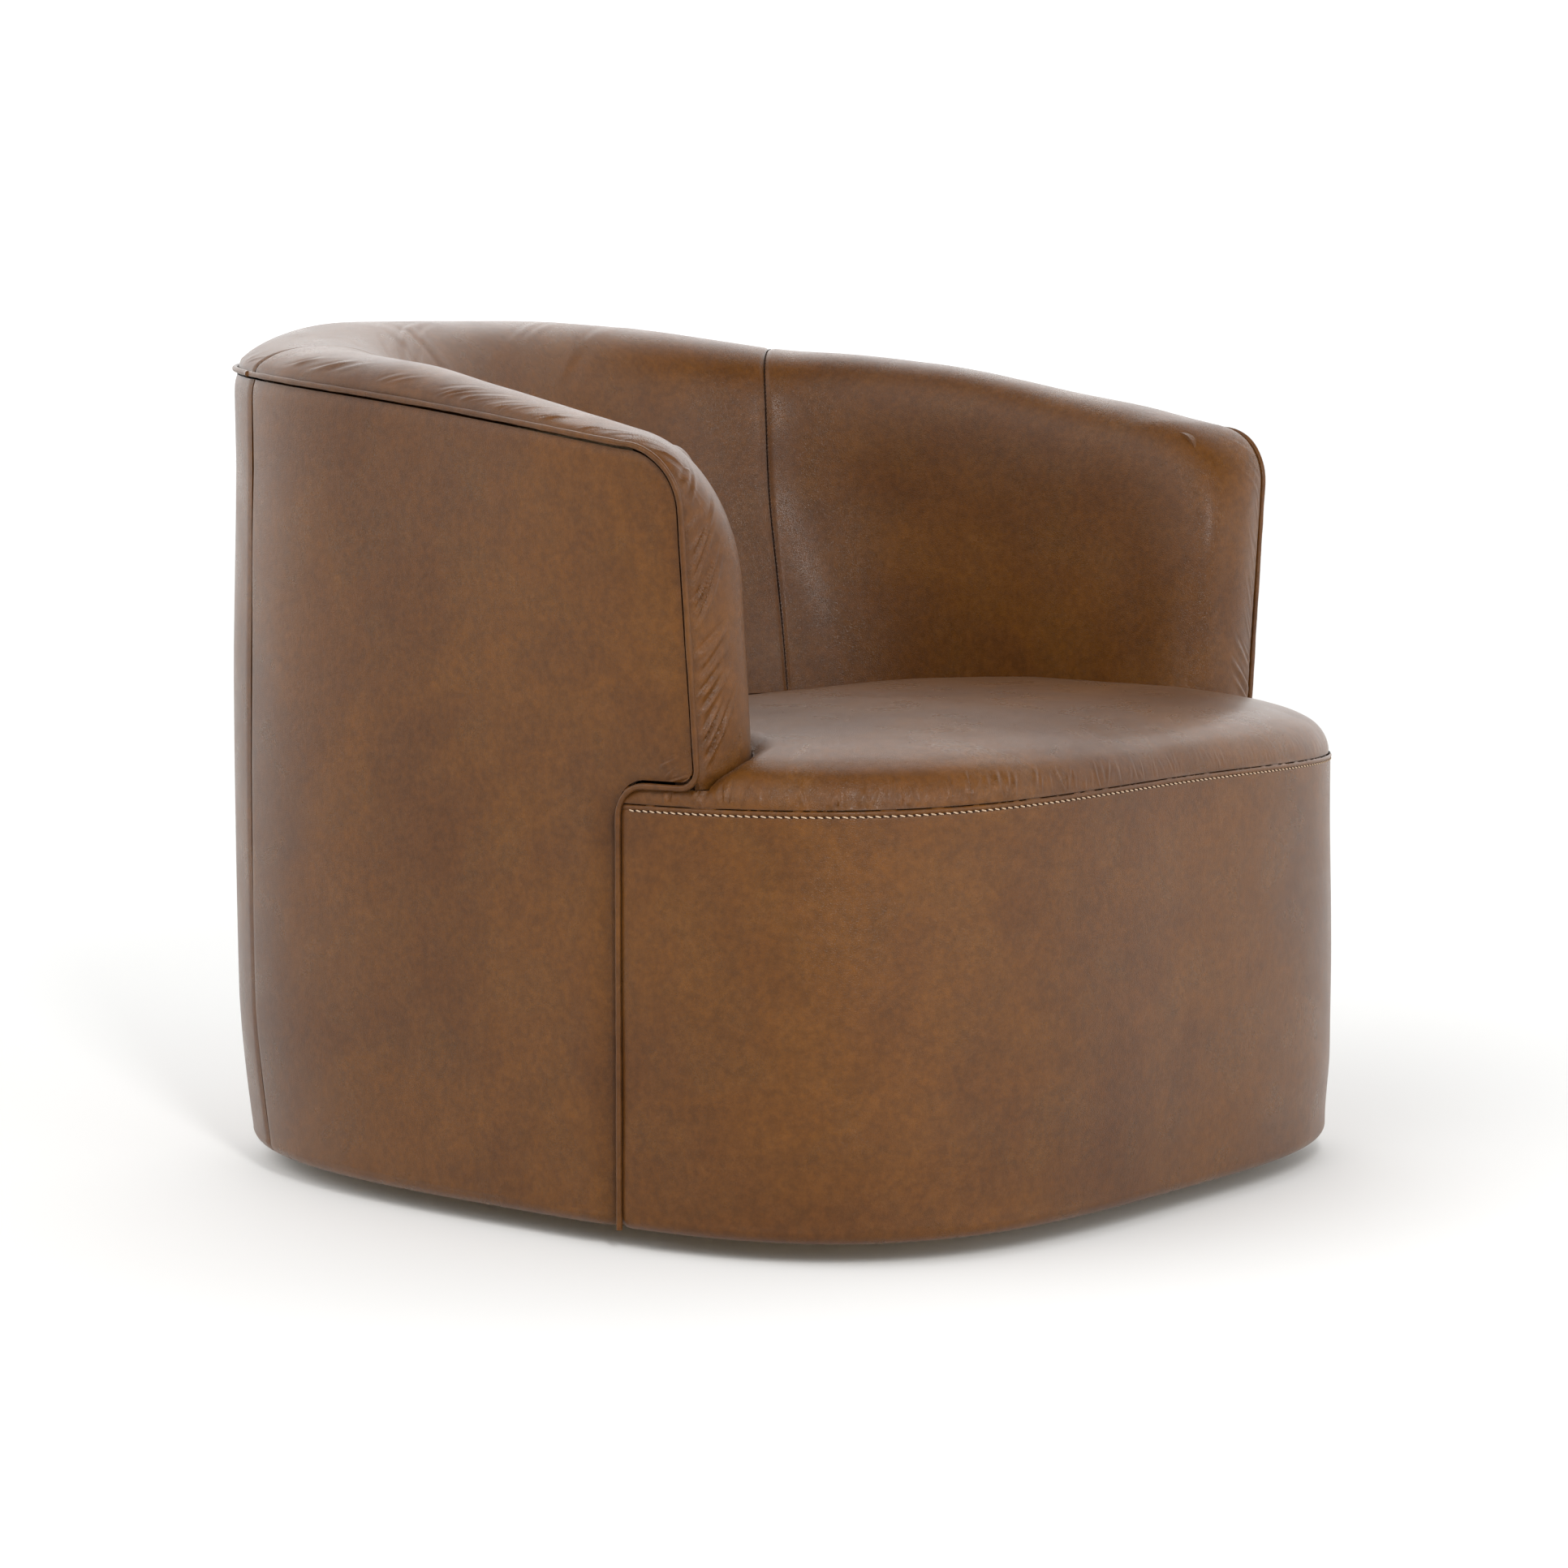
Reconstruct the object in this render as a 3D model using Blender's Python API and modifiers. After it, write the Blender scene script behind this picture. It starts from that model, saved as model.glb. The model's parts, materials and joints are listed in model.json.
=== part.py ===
import math

import bmesh
import bpy
from mathutils import Matrix, Vector

# Plan of the upholstery, seen from above
half_width = 0.4225
total_depth = 0.901
widest_y = -0.0545
front_squareness_share = 3.35
back_squareness_share = 3.0
station_count = 64

# Heights above the floor
hem_gap = 0.018
seam_height = 0.368
seam_rise = 0.008
seam_rise_reach = 0.30
notch_rise = 0.018
rim_front_height = 0.658
rim_back_height = 0.722
rim_bow = 0.0075

# Side view of the arm
arm_front_y = -0.2495
notch_y = -0.1725
arm_corner_radius = 0.050
toe_radius = 0.014
notch_fillet = 0.018
rear_seam_y = 0.2915
face_front_reach = 0.11
arm_flare = 0.0275
flare_start_height = 0.368
flare_rear_y = 0.12

# Lower edge, drawn in towards the back
hem_taper = 0.009
hem_taper_height = 0.14
hem_round = 0.012

# Padding and walls
arm_thickness = 0.100
back_thickness_low = 0.245
back_thickness_high = 0.160
inner_squareness_share = 2.6
back_roll_rise = 0.039
arm_front_bulge = 0.018
roll_inner_fall = 0.025
arm_front_padding = 0.022
panel_thickness = 0.012
piping_radius = 0.0025
piping_sink = 0.0015
joint_gap = 0.0003
soft_gap = 0.0005
seam_gap = 0.001

# Timber frame
board_thickness = 0.018
rail_thickness = 0.025
side_rail_height = 0.215
seat_rail_height = 0.085
seat_rail_top = 0.272
side_rail_top = 0.367
top_rail_height = 0.022
post_width = 0.038
front_post_x = 0.150
rear_post_x = 0.220
rear_rail_y = 0.168
frame_clearance = 0.003
wall_clearance = 0.008

# Plinth and glides
plinth_radius = 0.270
plinth_thickness = 0.024
plinth_bevel = 0.003
glide_radius = 0.017
glide_height = 0.006
glide_bevel = 0.0015
glide_circle_radius = 0.235
glide_count = 5

# Ball-bearing swivel
plate_width = 0.300
plate_thickness = 0.003
plate_corner_radius = 0.020
race_radius = 0.115
race_height = 0.0042
race_groove_depth = 0.0025
race_half_width = 0.013
groove_top_half_width = 0.0065
groove_floor_half_width = 0.0045
ball_radius = 0.00475
ball_count = 12
ball_gap = 0.00025
retainer_half_width = 0.0042
retainer_thickness = 0.0016
king_bolt_radius = 0.005
king_bolt_head_radius = 0.0085
king_bolt_head_height = 0.006
king_hole_clearance = 0.0006
washer_radius = 0.011
washer_thickness = 0.0016
nut_height = 0.008
bolt_end = 0.003
bolt_recess_radius = 0.020
nut_recess_radius = 0.018
screw_inset = 0.020
screw_radius = 0.0025
screw_head_radius = 0.005
screw_head_height = 0.0030
screw_length = 0.018
screw_hole_clearance = 0.0004

# Seat springs, clips and cushion
spring_x_shares = (-0.53, -0.18, 0.18, 0.53)
spring_width = 0.050
spring_wire_radius = 0.0019
spring_row_count = 22
spring_arch = 0.021
clip_thickness = 0.0012
clip_width = 0.018
clip_length = 0.022
clip_gap = 0.0004
deck_thickness = 0.006
seat_top_height = 0.433
seat_centre_y = -0.100
seat_back_fall = 0.030
seat_lip_inset = 0.0055
seat_side_clearance = 0.004

# Rolled section of the padding: depth as a share of the wall, rise as a share of the roll
cover_section_shares = ((0.0, 0.0), (0.03, 0.26), (0.12, 0.68), (0.28, 0.95), (0.46, 1.0),
                        (0.64, 0.95), (0.80, 0.80), (0.92, 0.45), (0.985, -0.10))
cover_fall_shares = (0.0, 0.0, 0.0, 0.0, 0.0, 0.06, 0.30, 0.75, 1.35)
face_fall_share = 1.35
backing_section_shares = ((0.155, -0.30), (0.165, 0.03), (0.22, 0.16), (0.32, 0.22), (0.46, 0.24),
                          (0.58, 0.20), (0.66, 0.10), (0.703, 0.02), (0.703, -0.30), (0.703, -0.75))
panel_edge_share = 0.127

# The same rows round the front of the arm: reach as a share of the bulge, and the radius of their corner
cover_nose_shares = (0.0, 0.0, 0.30, 0.72, 1.0, 0.98, 0.66, 0.05, -0.70)
cover_corner_shares = (1.0, 1.05, 1.15, 1.3, 1.5, 1.7, 1.85, 1.95, 2.0)
face_nose_share = -1.6
face_corner_share = 2.0

# Height of the roll from the front of the arm to the middle of the back
roll_rise_shares = ((0.0, 0.14), (0.2, 0.36), (0.45, 0.61), (0.65, 0.60), (0.755, 0.54), (0.87, 0.69),
                    (1.0, 1.0))
face_drop_shares = (0.27, 0.50, 0.73, 0.93)
face_depth_shares = (1.02, 1.03, 1.02, 1.0)
face_rise_share = -0.75
backing_face_share = 0.69
rail_depth_shares = (0.170, 0.694)

# Crown of the cushion: share of the way out from its centre, share of its height
cushion_ring_shares = ((1.0, 0.0), (0.992, 0.22), (0.97, 0.42), (0.935, 0.56), (0.88, 0.68),
                       (0.78, 0.80), (0.62, 0.91), (0.42, 0.975), (0.20, 1.0))

# Small shares of the sizes above
flare_top_share = 1.15
hem_taper_curve_share = 1.5
hem_corner_share = 0.3
lip_run_share = 2.5
lip_turn_share = 0.3
face_step_shares = (0.25, 0.5, 0.75)
arm_level_shares = (0.33, 0.67)
toe_turn_share = 1.1
board_bulge_share = 0.3
screw_dome_share = 0.6
screw_edge_share = 0.4
screw_point_share = 0.8
clip_leaf_share = 0.35
spring_front_share = 0.75
spring_rear_share = 0.6

# Values that follow from the sizes above
front_y = -total_depth / 2
back_y = total_depth / 2
front_reach = widest_y - front_y
back_reach = back_y - widest_y
notch_height = seam_height + notch_rise
welt_slot = piping_radius + soft_gap
pad_foot = notch_height - piping_radius - soft_gap
plinth_bottom = glide_height + joint_gap
plinth_top = plinth_bottom + plinth_thickness
lower_plate_bottom = plinth_top + joint_gap
lower_plate_top = lower_plate_bottom + plate_thickness
groove_depth_left = race_height - race_groove_depth
ball_height = lower_plate_top + groove_depth_left + ball_gap + ball_radius
upper_plate_bottom = ball_height + ball_radius + ball_gap + groove_depth_left
upper_plate_top = upper_plate_bottom + plate_thickness
board_bottom = upper_plate_top + joint_gap
board_top = board_bottom + board_thickness
wire_height = seat_rail_top + joint_gap + clip_thickness + clip_gap + spring_wire_radius
deck_bottom = wire_height + spring_arch + spring_wire_radius + soft_gap
deck_top = deck_bottom + deck_thickness
cushion_bottom = deck_top + soft_gap


def ramp(value):
    value = min(max(value, 0.0), 1.0)
    return value * value * (3 - 2 * value)


def mix(low, high, share):
    return low + (high - low) * share


# The plan outline in polar form about the widest line, angle from the front centre towards +X
def polar_radius(angle, across, along, power):
    side_part = abs(math.sin(angle)) / across
    end_part = abs(math.cos(angle)) / along
    return (side_part ** power + end_part ** power) ** (-1 / power)


def plan_point(angle):
    if math.cos(angle) > 0:
        radius = polar_radius(angle, half_width, front_reach, front_squareness_share)
    else:
        radius = polar_radius(angle, half_width, back_reach, back_squareness_share)
    return radius * math.sin(angle), widest_y - radius * math.cos(angle)


def angle_at(y):
    low, high = 0.0, math.pi
    for _ in range(40):
        middle = (low + high) / 2
        if plan_point(middle)[1] < y:
            low = middle
        else:
            high = middle
    return (low + high) / 2


def even_stations(count):
    fine = [math.pi * step / 720 for step in range(721)]
    lengths = [0.0]
    for before, after in zip(fine, fine[1:]):
        step = math.dist(plan_point(before), plan_point(after))
        lengths.append(lengths[-1] + step)
    half = [0.0]
    for number in range(1, count // 2):
        goal = lengths[-1] * number / (count // 2)
        place = next(i for i, length in enumerate(lengths) if length >= goal)
        half.append(fine[place])
    return [-angle for angle in reversed(half[1:])] + half + [math.pi]


notch_angle = angle_at(notch_y)
rear_seam_angle = angle_at(rear_seam_y)
# The seat rails start at the notch, so every wall has a facet edge there
rail_start_angle = angle_at(notch_y + frame_clearance)
stations = sorted(even_stations(station_count) + [-rail_start_angle, rail_start_angle])


def stations_between(first, last):
    margin = math.pi / station_count / 4
    inner = [a for a in stations if first + margin < a < last - margin]
    if last > math.pi:
        inner += [a + math.tau for a in stations if first + margin < a + math.tau < last - margin]
    return [first] + inner + [last]


# The way into the chair from the outer face: square to it in front, across the chair in the arms
def inward(angle):
    if abs(angle) <= notch_angle:
        x, y = plan_point(angle)
        across = math.copysign((abs(x) / half_width) ** (front_squareness_share - 1), x)
        along = (widest_y - y) / front_reach
        slope_x = across / half_width
        slope_y = -(along ** (front_squareness_share - 1)) / front_reach
        length = math.hypot(slope_x, slope_y)
        return -slope_x / length, -slope_y / length
    if math.cos(angle) > 0:
        return -math.copysign(1, math.sin(angle)), 0.0
    return -math.sin(angle), math.cos(angle)


def rim_share(y):
    start = arm_front_y + arm_corner_radius
    return (y - start) / (back_y - start)


def rim_height(y):
    share = rim_share(y)
    bow = 4 * share * (1 - share) if share > 0 else 0.0
    return mix(rim_front_height, rim_back_height, share) + rim_bow * bow


def roll_rise(y):
    share = min(max(rim_share(y), 0), 1)
    for (low, first), (high, last) in zip(roll_rise_shares, roll_rise_shares[1:]):
        if share <= high:
            return back_roll_rise * mix(first, last, (share - low) / (high - low))


def flare(y, z):
    along = ramp((flare_rear_y - y) / (flare_rear_y - arm_front_y))
    up = (z - flare_start_height) / (rim_front_height - flare_start_height)
    return arm_flare * along * min(max(up, 0.0), flare_top_share)


def taper(y, z):
    low = min(max((hem_gap + hem_taper_height - z) / hem_taper_height, 0.0), 1.0)
    return hem_taper * low ** hem_taper_curve_share * ramp((y - notch_y) / (rear_seam_y - notch_y))


def wall_thickness(angle, z):
    if math.cos(angle) > 0:
        return arm_thickness
    up = ramp((z - seam_height) / (rim_front_height - seam_height))
    reach = back_reach - mix(back_thickness_low, back_thickness_high, up)
    x, y = plan_point(angle)
    inner = polar_radius(angle, half_width - arm_thickness, reach, inner_squareness_share)
    return math.hypot(x, y - widest_y) - inner


def wall_point(angle, depth, z):
    x, y = plan_point(angle)
    across, along = inward(angle)
    depth = depth + taper(y, z)
    x, y = x + across * depth, y + along * depth
    return Vector((x + math.copysign(flare(y, z), math.sin(angle)), y, z))


def level_outline(depth, z, angles=stations):
    return [wall_point(angle, depth, z).to_2d() for angle in angles]


def seam_level(x):
    return seam_height + seam_rise * math.exp(-(x / seam_rise_reach) ** 2)


# Scene housekeeping
def new_collection(name):
    collection = bpy.data.collections.new(name)
    bpy.context.scene.collection.children.link(collection)
    return collection


def finish(name, colour, roughness, metallic=0.0):
    material = bpy.data.materials.new(name)
    material.use_nodes = True
    shader = material.node_tree.nodes["Principled BSDF"]
    shader.inputs["Base Color"].default_value = (*colour, 1.0)
    shader.inputs["Roughness"].default_value = roughness
    shader.inputs["Metallic"].default_value = metallic
    material.diffuse_color = (*colour, 1.0)
    return material


def object_from_bmesh(name, mesh_data, material, collection):
    mesh = bpy.data.meshes.new(name)
    mesh_data.to_mesh(mesh)
    mesh_data.free()
    piece = bpy.data.objects.new(name, mesh)
    collection.objects.link(piece)
    if material:
        mesh.materials.append(material)
    return piece


def solid_from_rings(name, rings, material, collection):
    # Rings of equal length joined side by side, with a face at each end
    shape = bmesh.new()
    rows = [[shape.verts.new(point) for point in ring] for ring in rings]
    for before, after in zip(rows, rows[1:]):
        for i in range(len(before)):
            k = (i + 1) % len(before)
            shape.faces.new((before[i], before[k], after[k], after[i]))
    shape.faces.new(rows[0])
    shape.faces.new(rows[-1])
    bmesh.ops.recalc_face_normals(shape, faces=shape.faces)
    return object_from_bmesh(name, shape, material, collection)


def wall_band(name, angles, section, material, collection):
    rings = [[wall_point(angle, *corner) for corner in section(angle)] for angle in angles]
    return solid_from_rings(name, rings, material, collection)


def flat_piece(name, loops, bottom, thickness, material, collection):
    curve = bpy.data.curves.new(name, "CURVE")
    curve.dimensions = "2D"
    curve.fill_mode = "BOTH"
    curve.extrude = thickness / 2
    for loop in loops:
        spline = curve.splines.new("POLY")
        spline.points.add(len(loop) - 1)
        for point, place in zip(spline.points, loop):
            point.co = (place[0], place[1], 0.0, 1.0)
        spline.use_cyclic_u = True
    piece = bpy.data.objects.new(name, curve)
    collection.objects.link(piece)
    piece.location.z = bottom + thickness / 2
    return mesh_from_curve(piece, material, collection)


def mesh_from_curve(piece, material, collection):
    name = piece.name
    bpy.context.view_layer.update()
    graph = bpy.context.evaluated_depsgraph_get()
    mesh = bpy.data.meshes.new_from_object(piece.evaluated_get(graph))
    place = piece.matrix_world.copy()
    bpy.data.objects.remove(piece)
    shape = bmesh.new()
    shape.from_mesh(mesh)
    bmesh.ops.remove_doubles(shape, verts=shape.verts, dist=joint_gap / 10)
    bmesh.ops.recalc_face_normals(shape, faces=shape.faces)
    shape.to_mesh(mesh)
    shape.free()
    solid = bpy.data.objects.new(name, mesh)
    solid.matrix_world = place
    collection.objects.link(solid)
    mesh.materials.clear()
    if material:
        mesh.materials.append(material)
    return solid


def side_profile(name, outline, half_length, collection):
    # A side-view outline (y, z) made solid right across one side of the chair
    solid = flat_piece(name, [outline], -half_length, 2 * half_length, None, collection)
    turn = Matrix(((0, 0, 1, 0), (1, 0, 0, 0), (0, 1, 0, 0), (0, 0, 0, 1)))
    solid.matrix_world = turn
    return solid


def turned_piece(name, profile, centre, material, collection, steps=32):
    # Profile of (radius, height), run down the outer side
    mesh = bpy.data.meshes.new(name)
    points = [(radius, 0.0, height) for radius, height in profile]
    closed = profile[0][0] > 0 and profile[-1][0] > 0
    edges = [(i, i + 1) for i in range(len(points) - 1)]
    if closed:
        edges.append((len(points) - 1, 0))
    mesh.from_pydata(points, edges, [])
    piece = bpy.data.objects.new(name, mesh)
    collection.objects.link(piece)
    piece.location = centre
    screw = piece.modifiers.new("turn", "SCREW")
    screw.steps = steps
    screw.render_steps = steps
    screw.use_merge_vertices = True
    screw.merge_threshold = joint_gap / 10
    screw.use_smooth_shade = False
    if material:
        mesh.materials.append(material)
    return piece


def cylinder(name, radius, bottom, height, x, y, material, collection, sides=16):
    shape = bmesh.new()
    bmesh.ops.create_cone(shape, cap_ends=True, segments=sides, radius1=radius,
                          radius2=radius, depth=height)
    piece = object_from_bmesh(name, shape, material, collection)
    piece.location = (x, y, bottom + height / 2)
    return piece


def box(name, low, high, material, collection):
    shape = bmesh.new()
    bmesh.ops.create_cube(shape, size=1)
    size = [b - a for a, b in zip(low, high)]
    bmesh.ops.scale(shape, vec=size, verts=shape.verts)
    piece = object_from_bmesh(name, shape, material, collection)
    piece.location = [(a + b) / 2 for a, b in zip(low, high)]
    return piece


def combine(piece, cutter, operation="DIFFERENCE"):
    step = piece.modifiers.new(operation.lower(), "BOOLEAN")
    step.operation = operation
    step.solver = "EXACT"
    step.object = cutter
    cutter.hide_render = True
    cutter.display_type = "WIRE"


def arc(centre, radius, start, end, steps):
    # Points round a centre, angles in degrees
    points = []
    for step in range(steps + 1):
        turn = math.radians(mix(start, end, step / steps))
        points.append((centre[0] + radius * math.cos(turn), centre[1] + radius * math.sin(turn)))
    return points


# The welt line of one arm in side view, from the hem up to the rim; inset moves it into the panel
def welt_line(inset, arc_steps=5):
    points = [(notch_y + inset, hem_gap)]
    fillet_centre = (notch_y - notch_fillet, notch_height - notch_fillet)
    points += arc(fillet_centre, notch_fillet + inset, 0, 90, arc_steps)
    toe_centre = (arm_front_y + toe_radius, notch_height + toe_radius)
    points += arc(toe_centre, toe_radius - inset, 270, 180, arc_steps)
    corner_y = arm_front_y + arm_corner_radius
    corner_centre = (corner_y, rim_height(corner_y) - arm_corner_radius)
    face_y = arm_front_y + inset
    face_top = corner_centre[1]
    for share in face_step_shares:
        points.append((face_y, mix(toe_centre[1], face_top, share)))
    points += arc(corner_centre, arm_corner_radius - inset, 180, 90, arc_steps + 1)
    return points


def rim_line(inset, last_y):
    start = arm_front_y + arm_corner_radius
    steps = 8
    line = []
    for step in range(1, steps + 1):
        y = mix(start, last_y, step / steps)
        line.append((y, rim_height(y) - inset))
    return line


def panel_outline(inset, lower_rear_y, rim_drop=0.0):
    outline = welt_line(inset) + rim_line(inset, back_y)
    outline = [(y, z - rim_drop if z > notch_height + toe_radius else z) for y, z in outline]
    top_rear = outline[-1]
    past_y = lower_rear_y + panel_thickness
    below = hem_gap - panel_thickness
    outline += [(past_y, top_rear[1]), (past_y, below), (notch_y + inset, below)]
    return outline


def board_outline(inset, top_drop, rear_y, bottom):
    lower_y = notch_y + inset
    nose_y = arm_front_y + inset
    nose_bottom = notch_height + inset
    corner_y = nose_y + arm_corner_radius
    corner_z = rim_height(corner_y) - top_drop - arm_corner_radius
    outline = [(lower_y, bottom), (lower_y, nose_bottom), (nose_y, nose_bottom)]
    outline += arc((corner_y, corner_z), arm_corner_radius, 180, 90, 4)
    steps = 5
    for step in range(1, steps + 1):
        y = mix(corner_y, rear_y, step / steps)
        outline.append((y, rim_height(y) - top_drop))
    outline.append((rear_y, bottom))
    return outline


# Arm and back padding
class PadRow:
    # One line along a pad, described by where it lies in the rolled section
    def __init__(self, depth_share, lift, rise_share, drop_share, front_reach, corner_radius):
        self.depth_share = depth_share
        self.lift = lift
        self.rise_share = rise_share
        self.drop_share = drop_share
        self.front_reach = front_reach
        self.corner_radius = corner_radius


def cover_rows():
    rows = []
    slot = welt_slot + soft_gap
    sections = zip(cover_section_shares, cover_fall_shares, cover_nose_shares, cover_corner_shares)
    for (depth_share, rise_share), fall_share, nose_share, corner_share in sections:
        lift = (slot if rise_share >= 0 else 0.0) - fall_share * roll_inner_fall
        reach = slot * (nose_share >= 0) + nose_share * arm_front_bulge
        rows.append(PadRow(depth_share, lift, rise_share, 0.0, reach, corner_share * arm_corner_radius))
    for drop_share, depth_share in zip(face_drop_shares, face_depth_shares):
        left = 1 - drop_share
        reach = face_nose_share * left * arm_front_bulge - drop_share * face_front_reach
        radius = face_corner_share * left * arm_corner_radius
        rows.append(PadRow(depth_share, -face_fall_share * left * roll_inner_fall,
                           face_rise_share * left, drop_share, reach, radius))
    return rows


def backing_rows():
    rows = [PadRow(panel_edge_share, soft_gap, 0.0, 0.0, 0.0, arm_corner_radius)]
    for depth_share, rise_share in backing_section_shares:
        reach = rise_share * arm_front_bulge - arm_front_padding
        rows.append(PadRow(depth_share, 0.0, rise_share, 0.0, reach,
                           max(arm_corner_radius + reach, toe_radius * toe_turn_share)))
    for drop_share, depth_share in zip(face_drop_shares, face_depth_shares):
        rise_share = face_rise_share * (1 - drop_share)
        reach = rise_share * arm_front_bulge - arm_front_padding
        reach -= drop_share * (face_front_reach - arm_front_padding)
        rows.append(PadRow(backing_face_share * depth_share, 0.0, rise_share, drop_share, reach,
                           toe_radius * (toe_turn_share - drop_share)))
    return rows


def row_height(y, row):
    top = rim_height(y) + row.lift + row.rise_share * roll_rise(y)
    return top - row.drop_share * (rim_height(y) - pad_foot)


def row_point(angle, z, row):
    depth = row.depth_share * wall_thickness(angle, max(z, seam_height))
    return wall_point(angle, depth, z)


def arm_columns(row, side):
    nose_y = arm_front_y - row.front_reach
    radius = row.corner_radius
    corner_y = nose_y + radius
    corner_z = row_height(corner_y, row) - radius
    steps = 4
    places = [(nose_y, mix(pad_foot, corner_z, step / steps)) for step in range(steps)]
    places += arc((corner_y, corner_z), radius, 180, 90, steps + 2)
    points = [row_point(side * angle_at(y), z, row) for y, z in places]
    fixed = stations_between(angle_at(notch_y + arm_thickness), rear_seam_angle)
    first = angle_at(corner_y)
    lead = [mix(first, fixed[0], share) for share in arm_level_shares]
    half_seam = seam_gap / 2 / half_width
    for angle in lead + fixed[:-1] + [rear_seam_angle - half_seam]:
        z = row_height(plan_point(angle)[1], row)
        points.append(row_point(side * angle, z, row))
    return points


def back_columns(row, side):
    half_seam = seam_gap / 2 / half_width
    angles = stations_between(rear_seam_angle + half_seam, math.tau - rear_seam_angle - half_seam)
    points = []
    for angle in angles:
        z = row_height(plan_point(angle)[1], row)
        points.append(row_point(angle, z, row))
    return points


def pad(name, columns, side, material, collection):
    cover = [columns(row, side) for row in cover_rows()]
    backing = [columns(row, side) for row in backing_rows()]
    rings = [[line[i] for line in cover] + [line[i] for line in reversed(backing)]
             for i in range(len(cover[0]))]
    piece = solid_from_rings(name, rings, material, collection)
    piece.data.shade_smooth()
    piece.data.set_sharp_from_angle(angle=math.radians(50))
    return piece


# Outer panels
def panel_section(angle):
    levels = [hem_gap + hem_round, hem_gap + hem_taper_height / 2, hem_gap + hem_taper_height,
              flare_start_height]
    levels += [mix(flare_start_height, rim_front_height, share) for share in arm_level_shares]
    levels += [rim_front_height, rim_back_height + arm_corner_radius]
    outer = [(hem_round, hem_gap), (hem_round * hem_corner_share, hem_gap + hem_round * hem_corner_share)]
    outer += [(0.0, z) for z in levels]
    inner = [(panel_thickness, z) for z in reversed(levels)]
    return outer + inner + [(panel_thickness, hem_gap)]


def back_panel_section(angle):
    y = plan_point(angle)[1]
    top = rim_height(y) - welt_slot
    levels = [hem_gap + hem_round, hem_gap + hem_taper_height / 2, hem_gap + hem_taper_height, top]
    outer = [(hem_round, hem_gap), (hem_round * hem_corner_share, hem_gap + hem_round * hem_corner_share)]
    outer += [(0.0, z) for z in levels]
    inner = [(panel_thickness, z) for z in reversed(levels)]
    return outer + inner + [(panel_thickness, hem_gap)]


def front_panel_section(angle):
    top = seam_level(plan_point(angle)[0]) - soft_gap * 3
    edge = seat_lip_inset
    outer = [(hem_round, hem_gap), (hem_round * hem_corner_share, hem_gap + hem_round * hem_corner_share),
             (0.0, hem_gap + hem_round), (0.0, top - edge * lip_run_share),
             (edge * lip_turn_share, top - edge)]
    return outer + [(edge, top), (panel_thickness, top), (panel_thickness, hem_gap)]


def side_panel(side, leather, parts, cutters):
    first = angle_at(arm_front_y)
    last = rear_seam_angle - seam_gap / 2 / half_width
    angles = [side * angle for angle in stations_between(first, last)]
    name = "outer_side_panel_" + side_name(side)
    panel = wall_band(name, angles, panel_section, leather, parts)
    profile = panel_outline(welt_slot, back_y)
    cutter = side_profile("profile_" + name, profile, total_depth, cutters)
    combine(panel, cutter, "INTERSECT")
    return panel


def side_name(side):
    return "right" if side > 0 else "left"


def outer_panels(leather, parts, cutters):
    for side in (-1, 1):
        side_panel(side, leather, parts, cutters)
    gap = seam_gap / 2 / half_width
    behind = stations_between(rear_seam_angle + gap, math.tau - rear_seam_angle - gap)
    wall_band("outer_back_panel", behind, back_panel_section, leather, parts)
    end = angle_at(notch_y - welt_slot)
    wall_band("front_panel", stations_between(-end, end), front_panel_section, leather, parts)


# Piping, one cord on each side and one round the back
def cord(name, points, radius, material, collection, resolution=1):
    curve = bpy.data.curves.new(name, "CURVE")
    curve.dimensions = "3D"
    curve.bevel_depth = radius
    curve.bevel_resolution = resolution
    curve.use_fill_caps = True
    spline = curve.splines.new("POLY")
    spline.points.add(len(points) - 1)
    for point, place in zip(spline.points, points):
        point.co = (*place, 1.0)
    piece = bpy.data.objects.new(name, curve)
    collection.objects.link(piece)
    if material:
        curve.materials.append(material)
    return piece


def piping(leather, parts):
    gap = seam_gap / 2 / half_width
    for side in (-1, 1):
        places = welt_line(0.0)
        points = [wall_point(side * angle_at(y), piping_sink, z) for y, z in places]
        start = angle_at(arm_front_y + arm_corner_radius)
        for angle in stations_between(start, rear_seam_angle - gap)[1:]:
            z = rim_height(plan_point(angle)[1])
            points.append(wall_point(side * angle, piping_sink, z))
        cord("piping_" + side_name(side), points, piping_radius, leather, parts)
    points = []
    for angle in stations_between(rear_seam_angle + gap, math.tau - rear_seam_angle - gap):
        points.append(wall_point(angle, piping_sink, rim_height(plan_point(angle)[1])))
    cord("piping_back", points, piping_radius, leather, parts)


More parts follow.
